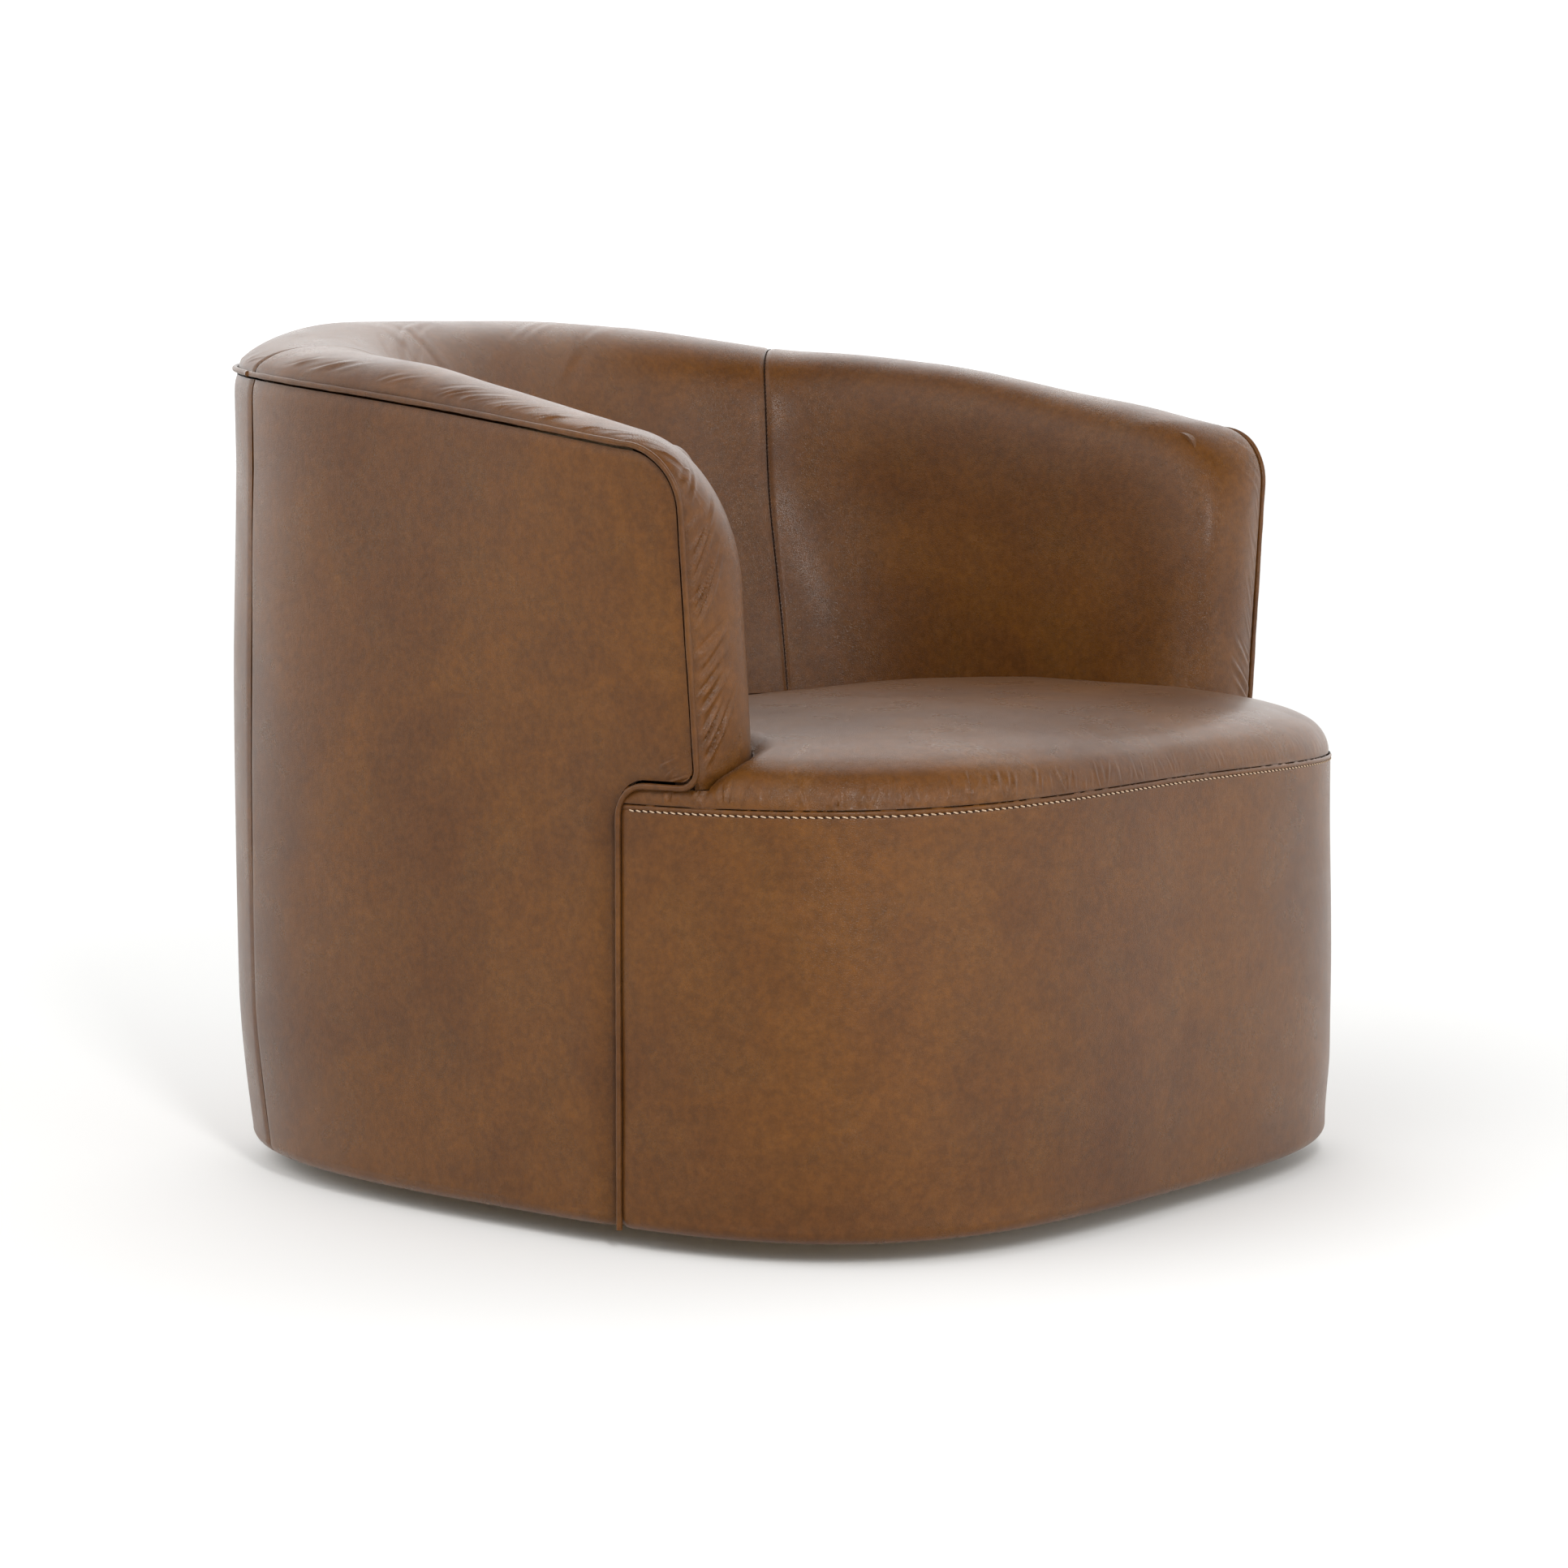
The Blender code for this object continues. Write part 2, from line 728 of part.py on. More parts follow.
# Seat cushion: a crowned block, cut to fit between the arms
def seat_cushion(leather, parts, cutters):
    angles = stations
    lip = level_outline(seat_lip_inset, seam_height, angles)
    side = level_outline(panel_thickness + seat_side_clearance, seam_height, angles)
    centre = Vector((0.0, seat_centre_y))
    rings = [[Vector((*p, cushion_bottom)) for p in side]]
    rings.append([Vector((*p, seam_level(p.x))) for p in side])
    for reach_share, rise_share in cushion_ring_shares:
        ring = []
        for place in lip:
            spot = centre + (place - centre) * reach_share
            edge = seam_level(place.x) + soft_gap * 2
            fall = seat_back_fall * ramp((spot.y - seat_centre_y) / -seat_centre_y / 3)
            ring.append(Vector((*spot, mix(edge, seat_top_height, rise_share) - fall)))
        rings.append(ring)
    cushion = solid_from_rings("seat_cushion", rings, leather, parts)
    cushion.data.shade_smooth()
    cushion.data.set_sharp_from_angle(angle=math.radians(40))
    low, high = cushion_bottom - soft_gap, seat_top_height + soft_gap
    rings = [[Vector((*p, z)) for p in inner_wall_loop(max(z, seam_height))] for z in (low, high)]
    combine(cushion, solid_from_rings("cut_inner_wall", rings, None, cutters))
    for side in (-1, 1):
        rings = [[Vector((*p, z)) for p in nose_loop(side, z)] for z in (pad_foot - soft_gap, high)]
        combine(cushion, solid_from_rings("cut_nose_" + side_name(side), rings, None, cutters))
    return cushion


def inner_wall_loop(z):
    # The U between the inner faces of arms and back, open to the front, and its outer border
    first = angle_at(notch_y - welt_slot - soft_gap * 2)
    inner = []
    for angle in stations_between(first, math.tau - first):
        share = max(face_depth_shares)
        turned = angle if angle <= math.pi else angle - math.tau
        depth = wall_thickness(turned, z) * share + soft_gap
        if abs(turned) <= notch_angle:
            turned = math.copysign(notch_angle + joint_gap, turned)
        place = wall_point(turned, depth, z)
        inner.append((place.x, plan_point(angle)[1] if abs(turned) < math.pi / 2 else place.y))
    far = half_width + arm_thickness
    return [(far, inner[0][1])] + inner + [(-far, inner[-1][1]), (-far, far), (far, far)]


def nose_loop(side, z):
    # The front end of an arm in plan at one height, with a little room round its padding
    loop = []
    for row in reversed(cover_rows()):
        place = row_point(angle_at(arm_front_y - row.front_reach), z, row)
        loop.append((place.x - soft_gap * min(row.depth_share * 2, 1), place.y - soft_gap))
    loop.insert(0, (loop[0][0], notch_y + arm_corner_radius))
    far = half_width + arm_thickness
    loop += [(far, loop[-1][1]), (far, notch_y + arm_corner_radius)]
    return [(side * x, y) for x, y in loop]


def deck_pad(felt, parts):
    end = angle_at(notch_y - welt_slot)
    front = level_outline(panel_thickness + wall_clearance, deck_bottom, stations_between(-end, end))
    rear_y = rear_rail_y - frame_clearance
    corner_y = notch_y - welt_slot
    rear_x = inner_side_x(rear_y) - frame_clearance
    front_x = inner_side_x(notch_y) - frame_clearance
    loop = [(-rear_x, rear_y), (-front_x, corner_y)]
    loop += [(p.x, p.y) for p in front if p.y < corner_y]
    loop += [(front_x, corner_y), (rear_x, rear_y)]
    return flat_piece("deck_pad", [loop], deck_bottom, deck_thickness, felt, parts)


# Timber frame
def side_rail_depths():
    outer = panel_thickness + soft_gap + board_thickness + soft_gap
    return outer, outer + rail_thickness


def arm_boards(plywood, parts, cutters):
    depths = (panel_thickness + soft_gap, panel_thickness + soft_gap + board_thickness)
    inset = arm_front_padding + arm_front_bulge * board_bulge_share + welt_slot
    rear_y = flare_rear_y
    lower = board_top + joint_gap
    drop = top_rail_height + joint_gap * 3
    high = rim_back_height
    levels = [lower, hem_gap + hem_taper_height, flare_start_height]
    levels += [mix(flare_start_height, rim_front_height, share) for share in arm_level_shares]
    levels += [rim_front_height, high]

    def section(angle):
        outer = [(depths[0], z) for z in levels]
        return outer + [(depths[1], z) for z in reversed(levels)]

    for side in (-1, 1):
        name = "arm_board_" + side_name(side)
        angles = [side * a for a in stations_between(angle_at(arm_front_y), angle_at(rear_y))]
        board = wall_band(name, angles, section, plywood, parts)
        outline = board_outline(inset, drop, rear_y, lower)
        outline = [(y, z - joint_gap if z == lower else z) for y, z in outline]
        outline[0] = (notch_y + welt_slot, outline[0][1])
        outline[1] = (notch_y + welt_slot, outline[1][1])
        cutter = side_profile("profile_" + name, outline, total_depth, cutters)
        combine(board, cutter, "INTERSECT")


def side_rails(plywood, parts):
    depths = side_rail_depths()
    top = side_rail_top
    levels = [top - side_rail_height, top]

    def section(angle):
        return [(depths[0], levels[0]), (depths[0], levels[1]),
                (depths[1], levels[1]), (depths[1], levels[0])]

    for side in (-1, 1):
        first = angle_at(notch_y + frame_clearance)
        last = angle_at(flare_rear_y + post_width)
        angles = [side * a for a in stations_between(first, last)]
        wall_band("side_rail_" + side_name(side), angles, section, plywood, parts)


def front_rail(plywood, parts):
    outer = panel_thickness + joint_gap
    inner = outer + rail_thickness
    top, bottom = seat_rail_top, seat_rail_top - seat_rail_height
    end = angle_at(notch_y + welt_slot - joint_gap)

    def section(angle):
        return [(outer, bottom), (outer, top), (inner, top), (inner, bottom)]

    wall_band("seat_rail_front", stations_between(-end, end), section, plywood, parts)


def front_y_at(x):
    share = 1 - (abs(x) / half_width) ** front_squareness_share
    return widest_y - front_reach * share ** (1 / front_squareness_share)


def inner_side_x(y):
    return abs(wall_point(angle_at(y), side_rail_depths()[1], seat_rail_top).x)


def rear_rail(plywood, parts):
    half = min(inner_side_x(rear_rail_y - rail_thickness), inner_side_x(rear_rail_y)) - joint_gap
    low = (-half, rear_rail_y - rail_thickness, seat_rail_top - seat_rail_height)
    high = (half, rear_rail_y, seat_rail_top)
    return box("seat_rail_rear", low, high, plywood, parts)


def posts(timber, parts):
    low, high = board_top + joint_gap, seat_rail_top - seat_rail_height - joint_gap
    for side in (-1, 1):
        x = side * front_post_x
        front = front_y_at(x) + panel_thickness + wall_clearance
        box("front_post_" + side_name(side), (x - post_width / 2, front, low),
            (x + post_width / 2, front + post_width, high), timber, parts)
        x = side * rear_post_x
        box("rear_post_" + side_name(side), (x - post_width / 2, rear_rail_y - post_width, low),
            (x + post_width / 2, rear_rail_y, high), timber, parts)


def back_posts(timber, parts):
    outer = panel_thickness + joint_gap
    inner = outer + post_width
    low = board_top + joint_gap
    place = (rear_seam_angle + math.pi) / 2
    first = max(number for number, angle in enumerate(stations) if angle < place)
    for side in (-1, 1):
        angles = [side * stations[first], side * stations[first + 1]]
        top = min(rim_height(plan_point(a)[1]) for a in angles) - top_rail_height - joint_gap * 3

        def section(angle):
            return [(outer, low), (outer, top), (inner, top), (inner, low)]

        wall_band("back_post_" + side_name(side), angles, section, timber, parts)


def top_rails(plywood, parts):
    def section(angle):
        top = rim_height(plan_point(angle)[1]) - soft_gap
        low = top - top_rail_height
        thickness = wall_thickness(angle, rim_back_height)
        outer, inner = (share * thickness for share in rail_depth_shares)
        return [(outer, low), (outer, top), (inner, top), (inner, low)]

    first = angle_at(arm_front_y + arm_corner_radius)
    gap = joint_gap / half_width
    for side in (-1, 1):
        angles = [side * a for a in stations_between(first, rear_seam_angle - gap)]
        wall_band("arm_top_rail_" + side_name(side), angles, section, plywood, parts)
    behind = stations_between(rear_seam_angle, math.tau - rear_seam_angle)
    wall_band("back_top_rail", behind, section, plywood, parts)


def bottom_board(plywood, parts, cutters):
    loop = level_outline(panel_thickness + joint_gap, board_bottom)
    board = flat_piece("bottom_board", [loop], board_bottom, board_thickness, plywood, parts)
    hole = cylinder("cut_nut_recess", nut_recess_radius, board_bottom - board_thickness,
                    board_thickness * 3, 0, 0, None, cutters, 24)
    combine(board, hole)
    for number, (x, y) in enumerate(screw_places()):
        drill = cylinder(f"cut_board_screw_{number}", screw_radius + screw_hole_clearance,
                         board_bottom - joint_gap, screw_length, x, y, None, cutters, 8)
        combine(board, drill)
    return board


# Ball-bearing swivel on its plinth
def screw_places():
    reach = plate_width / 2 - screw_inset
    return [(x * reach, y * reach) for x in (-1, 1) for y in (-1, 1)]


def plinth(paint, parts, cutters):
    r, t, b = plinth_radius, plinth_thickness, plinth_bevel
    floor = t - king_bolt_head_height - joint_gap
    profile = [(0, floor), (bolt_recess_radius, floor), (bolt_recess_radius, t), (r - b, t),
               (r, t - b), (r, b), (r - b, 0), (0, 0)]
    disc = turned_piece("plinth", profile, (0, 0, plinth_bottom), paint, parts, 48)
    for number, (x, y) in enumerate(screw_places()):
        drill = cylinder(f"cut_plinth_screw_{number}", screw_radius + screw_hole_clearance,
                         plinth_top - screw_length, screw_length * 2, x, y, None, cutters, 8)
        combine(disc, drill)
    return disc


def glides(nylon, parts):
    r, h, b = glide_radius, glide_height, glide_bevel
    profile = [(0, h), (r, h), (r, b), (r - b, 0), (0, 0)]
    for number in range(glide_count):
        turn = math.tau * number / glide_count
        place = (glide_circle_radius * math.sin(turn), -glide_circle_radius * math.cos(turn), 0)
        turned_piece(f"glide_{number + 1}", profile, place, nylon, parts, 20)


def rounded_square(width, radius, steps=4):
    loop = []
    for quarter, (x, y) in enumerate(((1, 1), (-1, 1), (-1, -1), (1, -1))):
        centre = (x * (width / 2 - radius), y * (width / 2 - radius))
        loop += arc(centre, radius, quarter * 90, quarter * 90 + 90, steps)
    return loop


def circle_loop(radius, steps=24):
    return arc((0, 0), radius, 0, 360 - 360 / steps, steps - 1)


def swivel_plate(name, bottom, race_up, hole_radius, steel, parts, cutters):
    loops = [rounded_square(plate_width, plate_corner_radius), circle_loop(hole_radius, 16)]
    plate = flat_piece(name, loops, bottom, plate_thickness, steel, parts)
    lap = plate_thickness / 2
    top = race_height
    floor = race_height - race_groove_depth
    profile = [(race_radius + race_half_width, top), (race_radius + race_half_width, -lap),
               (race_radius - race_half_width, -lap), (race_radius - race_half_width, top),
               (race_radius - groove_top_half_width, top), (race_radius - groove_floor_half_width, floor),
               (race_radius + groove_floor_half_width, floor), (race_radius + groove_top_half_width, top)]
    base = bottom + plate_thickness if race_up else bottom
    race = turned_piece("race_" + name, profile, (0, 0, base), None, cutters, 40)
    if not race_up:
        race.rotation_euler.x = math.pi
    combine(plate, race, "UNION")
    for number, (x, y) in enumerate(screw_places()):
        drill = cylinder(f"cut_{name}_{number}", screw_radius + screw_hole_clearance,
                         bottom - plate_thickness, plate_thickness * 3, x, y, None, cutters, 8)
        combine(plate, drill)
    return plate


def ball_ring(steel, parts, cutters):
    r, w, t = race_radius, retainer_half_width, retainer_thickness
    profile = [(r + w, t / 2), (r + w, -t / 2), (r - w, -t / 2), (r - w, t / 2)]
    ring = turned_piece("ball_ring", profile, (0, 0, ball_height), steel, parts, 36)
    shape = bmesh.new()
    for number in range(ball_count):
        turn = math.tau * number / ball_count
        place = Matrix.Translation((r * math.cos(turn), r * math.sin(turn), 0))
        bmesh.ops.create_uvsphere(shape, u_segments=8, v_segments=6, radius=ball_radius, matrix=place)
    balls = object_from_bmesh("bearing_balls", shape, None, cutters)
    balls.location.z = ball_height
    combine(ring, balls, "UNION")
    return ring


def hexagon(radius):
    return arc((0, 0), radius, 0, 300, 5)


def king_bolt(steel, parts, cutters):
    head_top = plinth_top
    head_bottom = head_top - king_bolt_head_height
    washer_bottom = upper_plate_top + joint_gap
    nut_bottom = washer_bottom + washer_thickness + joint_gap
    shank_top = nut_bottom + nut_height + bolt_end
    bolt = flat_piece("king_bolt", [hexagon(king_bolt_head_radius)], head_bottom,
                      king_bolt_head_height, steel, parts)
    overlap = king_bolt_head_height / 2
    shank = cylinder("shank_king_bolt", king_bolt_radius, head_top - overlap,
                     shank_top - head_top + overlap, 0, 0, None, cutters)
    combine(bolt, shank, "UNION")
    bore = king_bolt_radius + joint_gap
    flat_piece("king_bolt_washer", [circle_loop(washer_radius), circle_loop(bore, 16)],
               washer_bottom, washer_thickness, steel, parts)
    flat_piece("king_bolt_nut", [hexagon(king_bolt_head_radius), circle_loop(bore, 16)],
               nut_bottom, nut_height, steel, parts)


def plate_screws(steel, parts):
    # Pan heads on the lower plate point up, heads under the upper plate point down
    r, shank = screw_head_radius, screw_radius
    for number, (x, y) in enumerate(screw_places(), 1):
        head = screw_head_height
        seat = lower_plate_top + joint_gap
        length = screw_length - screw_head_height
        profile = [(0, head), (r * screw_dome_share, head), (r, head * screw_edge_share), (r, 0),
                   (shank, 0), (shank, -length * screw_point_share), (0, -length)]
        turned_piece(f"plinth_screw_{number}", profile, (x, y, seat), steel, parts, 12)
        seat = upper_plate_bottom - joint_gap
        profile = [(0, length), (shank, length * screw_point_share), (shank, 0), (r, 0),
                   (r, -head * screw_edge_share), (r * screw_dome_share, -head), (0, -head)]
        turned_piece(f"chair_screw_{number}", profile, (x, y, seat), steel, parts, 12)


# Sinuous springs and their clips
def spring_points(x, first_y, last_y):
    rows = spring_row_count
    pitch = (last_y - first_y) / (rows - 1)
    turn = pitch / 2
    half_bar = spring_width / 2 - turn
    middle, half = (first_y + last_y) / 2, (last_y - first_y) / 2
    points = []
    for row in range(rows):
        y = first_y + pitch * row
        side = 1 if row % 2 == 0 else -1
        points += [(x - side * half_bar, y), (x + side * half_bar, y)]
        if row < rows - 1:
            for angle in (60, 120):
                swing = math.radians(angle)
                points.append((x + side * (half_bar + turn * math.sin(swing)),
                               y + turn * (1 - math.cos(swing))))
    lift = [spring_arch * (1 - ((y - middle) / half) ** 2) for _, y in points]
    return [(px, py, wire_height + rise) for (px, py), rise in zip(points, lift)], pitch


def clip_outline(direction):
    # Side view of a bent steel clip: a leaf on the rail, a hook round the wire, a short upper leaf
    inner = spring_wire_radius + clip_gap
    outer = inner + clip_thickness
    centre = (0.0, joint_gap + clip_thickness + inner)
    loop = [(clip_length, centre[1] - outer), (clip_length, centre[1] - inner)]
    loop += arc(centre, inner, 270, 90, 6)
    leaf_end = clip_length * clip_leaf_share
    loop += [(leaf_end, centre[1] + inner), (leaf_end, centre[1] + outer)]
    loop += arc(centre, outer, 90, 270, 6)
    return [(direction * y, z) for y, z in loop]


def springs(steel, parts):
    least = None
    for number, x_share in enumerate(spring_x_shares, 1):
        x = x_share * half_width
        first_y = front_y_at(abs(x) + spring_width / 2) + panel_thickness + rail_thickness * spring_front_share
        last_y = rear_rail_y - rail_thickness * spring_rear_share
        points, pitch = spring_points(x, first_y, last_y)
        cord(f"seat_spring_{number}", points, spring_wire_radius, steel, parts, 0)
        gap = pitch - 2 * spring_wire_radius
        least = gap if least is None else min(least, gap)
        for end, y, direction in (("front", first_y, 1), ("rear", last_y, -1)):
            clip = flat_piece(f"spring_clip_{end}_{number}", [clip_outline(direction)],
                              -clip_width / 2, clip_width, steel, parts)
            turn = Matrix(((0, 0, 1, x), (1, 0, 0, y), (0, 1, 0, seat_rail_top), (0, 0, 0, 1)))
            clip.matrix_world = turn
    print("least gap between the rows of a spring, mm:", round(least * 1000, 1))


def build():
    for piece in list(bpy.data.objects):
        bpy.data.objects.remove(piece)
    parts = new_collection("swivel_club_chair")
    cutters = new_collection("cutters")
    leather = finish("brown leather", (0.22, 0.115, 0.06), 0.45)
    plywood = finish("birch plywood", (0.62, 0.45, 0.27), 0.6)
    timber = finish("beech", (0.55, 0.38, 0.22), 0.6)
    paint = finish("black painted plywood", (0.02, 0.02, 0.02), 0.55)
    nylon = finish("grey nylon", (0.25, 0.25, 0.25), 0.5)
    zinc = finish("zinc plated steel", (0.55, 0.56, 0.58), 0.35, 0.9)
    spring_steel = finish("oiled spring steel", (0.12, 0.12, 0.13), 0.4, 0.9)
    felt = finish("grey felt", (0.3, 0.3, 0.29), 0.95)

    plinth(paint, parts, cutters)
    glides(nylon, parts)
    swivel_plate("swivel_plate_lower", lower_plate_bottom, True,
                 king_bolt_radius + king_hole_clearance, zinc, parts, cutters)
    ball_ring(zinc, parts, cutters)
    swivel_plate("swivel_plate_upper", upper_plate_bottom, False,
                 king_bolt_radius + king_hole_clearance, zinc, parts, cutters)
    king_bolt(zinc, parts, cutters)
    plate_screws(zinc, parts)

    bottom_board(plywood, parts, cutters)
    arm_boards(plywood, parts, cutters)
    side_rails(plywood, parts)
    front_rail(plywood, parts)
    rear_rail(timber, parts)
    posts(timber, parts)
    back_posts(timber, parts)
    top_rails(plywood, parts)
    springs(spring_steel, parts)

    deck_pad(felt, parts)
    seat_cushion(leather, parts, cutters)
    for side in (-1, 1):
        pad("inner_arm_pad_" + side_name(side), arm_columns, side, leather, parts)
    pad("inner_back_pad", back_columns, 1, leather, parts)
    outer_panels(leather, parts, cutters)
    piping(leather, parts)


build()
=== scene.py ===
import json
import math

import bmesh
import bpy
import numpy as np
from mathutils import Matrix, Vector, noise


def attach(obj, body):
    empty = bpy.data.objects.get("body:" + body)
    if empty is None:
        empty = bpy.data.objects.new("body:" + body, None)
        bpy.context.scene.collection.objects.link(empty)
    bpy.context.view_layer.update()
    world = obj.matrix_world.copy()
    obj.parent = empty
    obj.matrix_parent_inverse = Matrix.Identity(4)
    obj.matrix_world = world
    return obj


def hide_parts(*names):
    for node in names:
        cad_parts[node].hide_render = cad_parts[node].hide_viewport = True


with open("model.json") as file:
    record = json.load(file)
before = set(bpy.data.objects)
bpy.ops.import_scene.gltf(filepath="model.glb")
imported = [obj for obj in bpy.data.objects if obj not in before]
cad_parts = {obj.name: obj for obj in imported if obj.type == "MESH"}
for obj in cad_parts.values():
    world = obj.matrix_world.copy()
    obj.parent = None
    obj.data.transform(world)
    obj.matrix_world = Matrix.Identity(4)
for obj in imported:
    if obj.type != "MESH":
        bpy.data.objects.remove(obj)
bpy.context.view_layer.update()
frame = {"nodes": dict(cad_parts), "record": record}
nodes = frame["nodes"]
print("frame loaded:", len(nodes), "solids")


# The chair's plan and side view, in metres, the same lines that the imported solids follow

planLines = {
    "halfWidth": 0.4225,
    "frontY": -0.4505,
    "backY": 0.4505,
    "widestY": -0.0545,
    "frontSquareness": 3.35,
    "backSquareness": 3.0,
    "innerSquareness": 2.6,
    "armThickness": 0.100,
    "backThicknessLow": 0.245,
    "backThicknessHigh": 0.160,
}

sideLines = {
    "hemHeight": 0.018,
    "seamHeight": 0.368,
    "seamRise": 0.008,
    "seamRiseReach": 0.30,
    "notchHeight": 0.386,
    "notchY": -0.1725,
    "notchFillet": 0.029,
    "toeRadius": 0.014,
    "armFrontY": -0.2495,
    "armCornerRadius": 0.050,
    "rimFront": 0.658,
    "rimBack": 0.722,
    "rimBow": 0.0075,
    "rearSeamY": 0.2915,
    "flareOut": 0.0275,
    "flareStart": 0.368,
    "flareRearY": 0.12,
    "hemTaper": 0.009,
    "hemTaperHeight": 0.14,
    "slot": 0.0030,
    "padFoot": 0.383,
}

frontReach = planLines["widestY"] - planLines["frontY"]
backReach = planLines["backY"] - planLines["widestY"]


def ramp(value):
    value = np.clip(value, 0, 1)
    return value * value * (3 - 2 * value)


def mix(low, high, share):
    return low + (high - low) * share


def polarRadius(angle, across, along, power):
    sidePart = np.abs(np.sin(angle)) / across
    endPart = np.abs(np.cos(angle)) / along
    return (sidePart ** power + endPart ** power) ** (-1 / power)


def planPoint(angle):
    # angle 0 is the middle of the front and grows towards +X
    angle = np.asarray(angle, float)
    halfWidth = planLines["halfWidth"]
    front = polarRadius(angle, halfWidth, frontReach, planLines["frontSquareness"])
    back = polarRadius(angle, halfWidth, backReach, planLines["backSquareness"])
    radius = np.where(np.cos(angle) > 0, front, back)
    return radius * np.sin(angle), planLines["widestY"] - radius * np.cos(angle)


fineAngles = np.linspace(0, math.pi, 4001)
fineX, fineY = planPoint(fineAngles)
fineLengths = np.concatenate([[0], np.cumsum(np.hypot(np.diff(fineX), np.diff(fineY)))])


def angleAt(y):
    return np.interp(y, fineY, fineAngles)


def lengthAt(angle):
    # distance along the outline from the middle of the front, negative on the -X side
    turned = np.where(angle > math.pi, 2 * math.pi - angle, np.abs(angle))
    reach = np.interp(turned, fineAngles, fineLengths)
    reach = np.where(angle > math.pi, 2 * fineLengths[-1] - reach, reach)
    return np.where(angle < 0, -reach, reach)


def angleAtLength(length):
    total = fineLengths[-1]
    folded = np.where(length > total, 2 * total - length, np.abs(length))
    angle = np.interp(folded, fineLengths, fineAngles)
    angle = np.where(length > total, 2 * math.pi - angle, angle)
    return np.where(length < 0, -angle, angle)


def evenAngles(first, last, steps):
    lengths = np.linspace(lengthAt(np.array(first)), lengthAt(np.array(last)), steps + 1)
    return angleAtLength(lengths)


def backAngles(steps, lean=0.0):
    # from the +X quarter seam round the back to the -X one
    first = rearSeamAngle + seamHalfGap + lean
    return evenAngles(first, 2 * math.pi - first, steps)


def toEnds(angles):
    # distance along the outline to the nearer end
    lengths = lengthAt(angles)
    return np.minimum(lengths - lengths[0], lengths[-1] - lengths)


rearSeamAngle = float(angleAt(sideLines["rearSeamY"]))
seamHalfGap = 0.0005 / planLines["halfWidth"]
panelEndY = sideLines["notchY"] - sideLines["slot"]
panelEndAngle = float(angleAt(panelEndY))


def inward(angle):
    # square to the outline in front, straight across in the arms, towards the middle in the back
    x, y = planPoint(angle)
    power = planLines["frontSquareness"] - 1
    across = np.sign(x) * (np.abs(x) / planLines["halfWidth"]) ** power / planLines["halfWidth"]
    along = np.clip((planLines["widestY"] - y) / frontReach, 0, None) ** power / frontReach
    length = np.hypot(across, along)
    toSide = ramp((y - sideLines["notchY"]) / 0.07)
    goX = mix(-across / length, -np.sign(np.sin(angle)), toSide)
    goY = mix(along / length, 0, toSide)
    inBack = np.cos(angle) <= 0
    goX = np.where(inBack, -np.sin(angle), goX)
    goY = np.where(inBack, np.cos(angle), goY)
    length = np.hypot(goX, goY)
    return goX / length, goY / length


def rimShare(y):
    start = sideLines["armFrontY"] + sideLines["armCornerRadius"]
    return (y - start) / (planLines["backY"] - start)


def rimHeight(y):
    share = rimShare(y)
    bow = np.where(share > 0, 4 * share * (1 - share), 0)
    return mix(sideLines["rimFront"], sideLines["rimBack"], share) + sideLines["rimBow"] * bow


def rollRise(y):
    spots, shares = np.array(armPads["riseShares"]).T
    near = np.linspace(-0.04, 0.04, 9)[:, None]
    flat = np.clip(rimShare(np.asarray(y, float)), 0, 1).reshape(-1)
    share = np.interp(np.clip(flat[None] + near, 0, 1), spots, shares).mean(axis=0)
    return armPads["backRollRise"] * share.reshape(np.shape(y))


def flare(y, z):
    along = ramp((sideLines["flareRearY"] - y) / (sideLines["flareRearY"] - sideLines["armFrontY"]))
    up = (z - sideLines["flareStart"]) / (sideLines["rimFront"] - sideLines["flareStart"])
    return sideLines["flareOut"] * along * np.clip(up, 0, 1.15)


def taper(y, z):
    top = sideLines["hemHeight"] + sideLines["hemTaperHeight"]
    low = np.clip((top - z) / sideLines["hemTaperHeight"], 0, 1)
    toRear = (y - sideLines["notchY"]) / (sideLines["rearSeamY"] - sideLines["notchY"])
    return sideLines["hemTaper"] * low ** 1.5 * ramp(toRear)


def wallThickness(angle, z):
    up = ramp((z - sideLines["seamHeight"]) / (sideLines["rimFront"] - sideLines["seamHeight"]))
    reach = backReach - mix(planLines["backThicknessLow"], planLines["backThicknessHigh"], up)
    x, y = planPoint(angle)
    innerHalf = planLines["halfWidth"] - planLines["armThickness"]
    inner = polarRadius(angle, innerHalf, reach, planLines["innerSquareness"])
    thick = np.hypot(x, y - planLines["widestY"]) - inner
    return np.where(np.cos(angle) > 0, planLines["armThickness"], thick)


def wallPoint(angle, depth, z):
    x, y = planPoint(angle)
    goX, goY = inward(angle)
    depth = depth + taper(y, z)
    x, y = x + goX * depth, y + goY * depth
    x = x + np.sign(np.sin(angle)) * flare(y, z)
    return np.stack(np.broadcast_arrays(x, y, z), axis=-1)


def seamLevel(x):
    reach = sideLines["seamRiseReach"]
    return sideLines["seamHeight"] + sideLines["seamRise"] * np.exp(-(x / reach) ** 2)


# Helpers for sheets of leather

def deselectAll():
    if bpy.context.object and bpy.context.object.mode != "OBJECT":
        bpy.ops.object.mode_set(mode="OBJECT")
    bpy.ops.object.select_all(action="DESELECT")


def makeActive(piece):
    deselectAll()
    piece.select_set(True)
    bpy.context.view_layer.objects.active = piece


def applyModifiers(piece):
    makeActive(piece)
    for modifier in list(piece.modifiers):
        bpy.ops.object.modifier_apply(modifier=modifier.name)


def editMesh(piece, change):
    shape = bmesh.new()
    shape.from_mesh(piece.data)
    change(shape)
    shape.to_mesh(piece.data)
    shape.free()


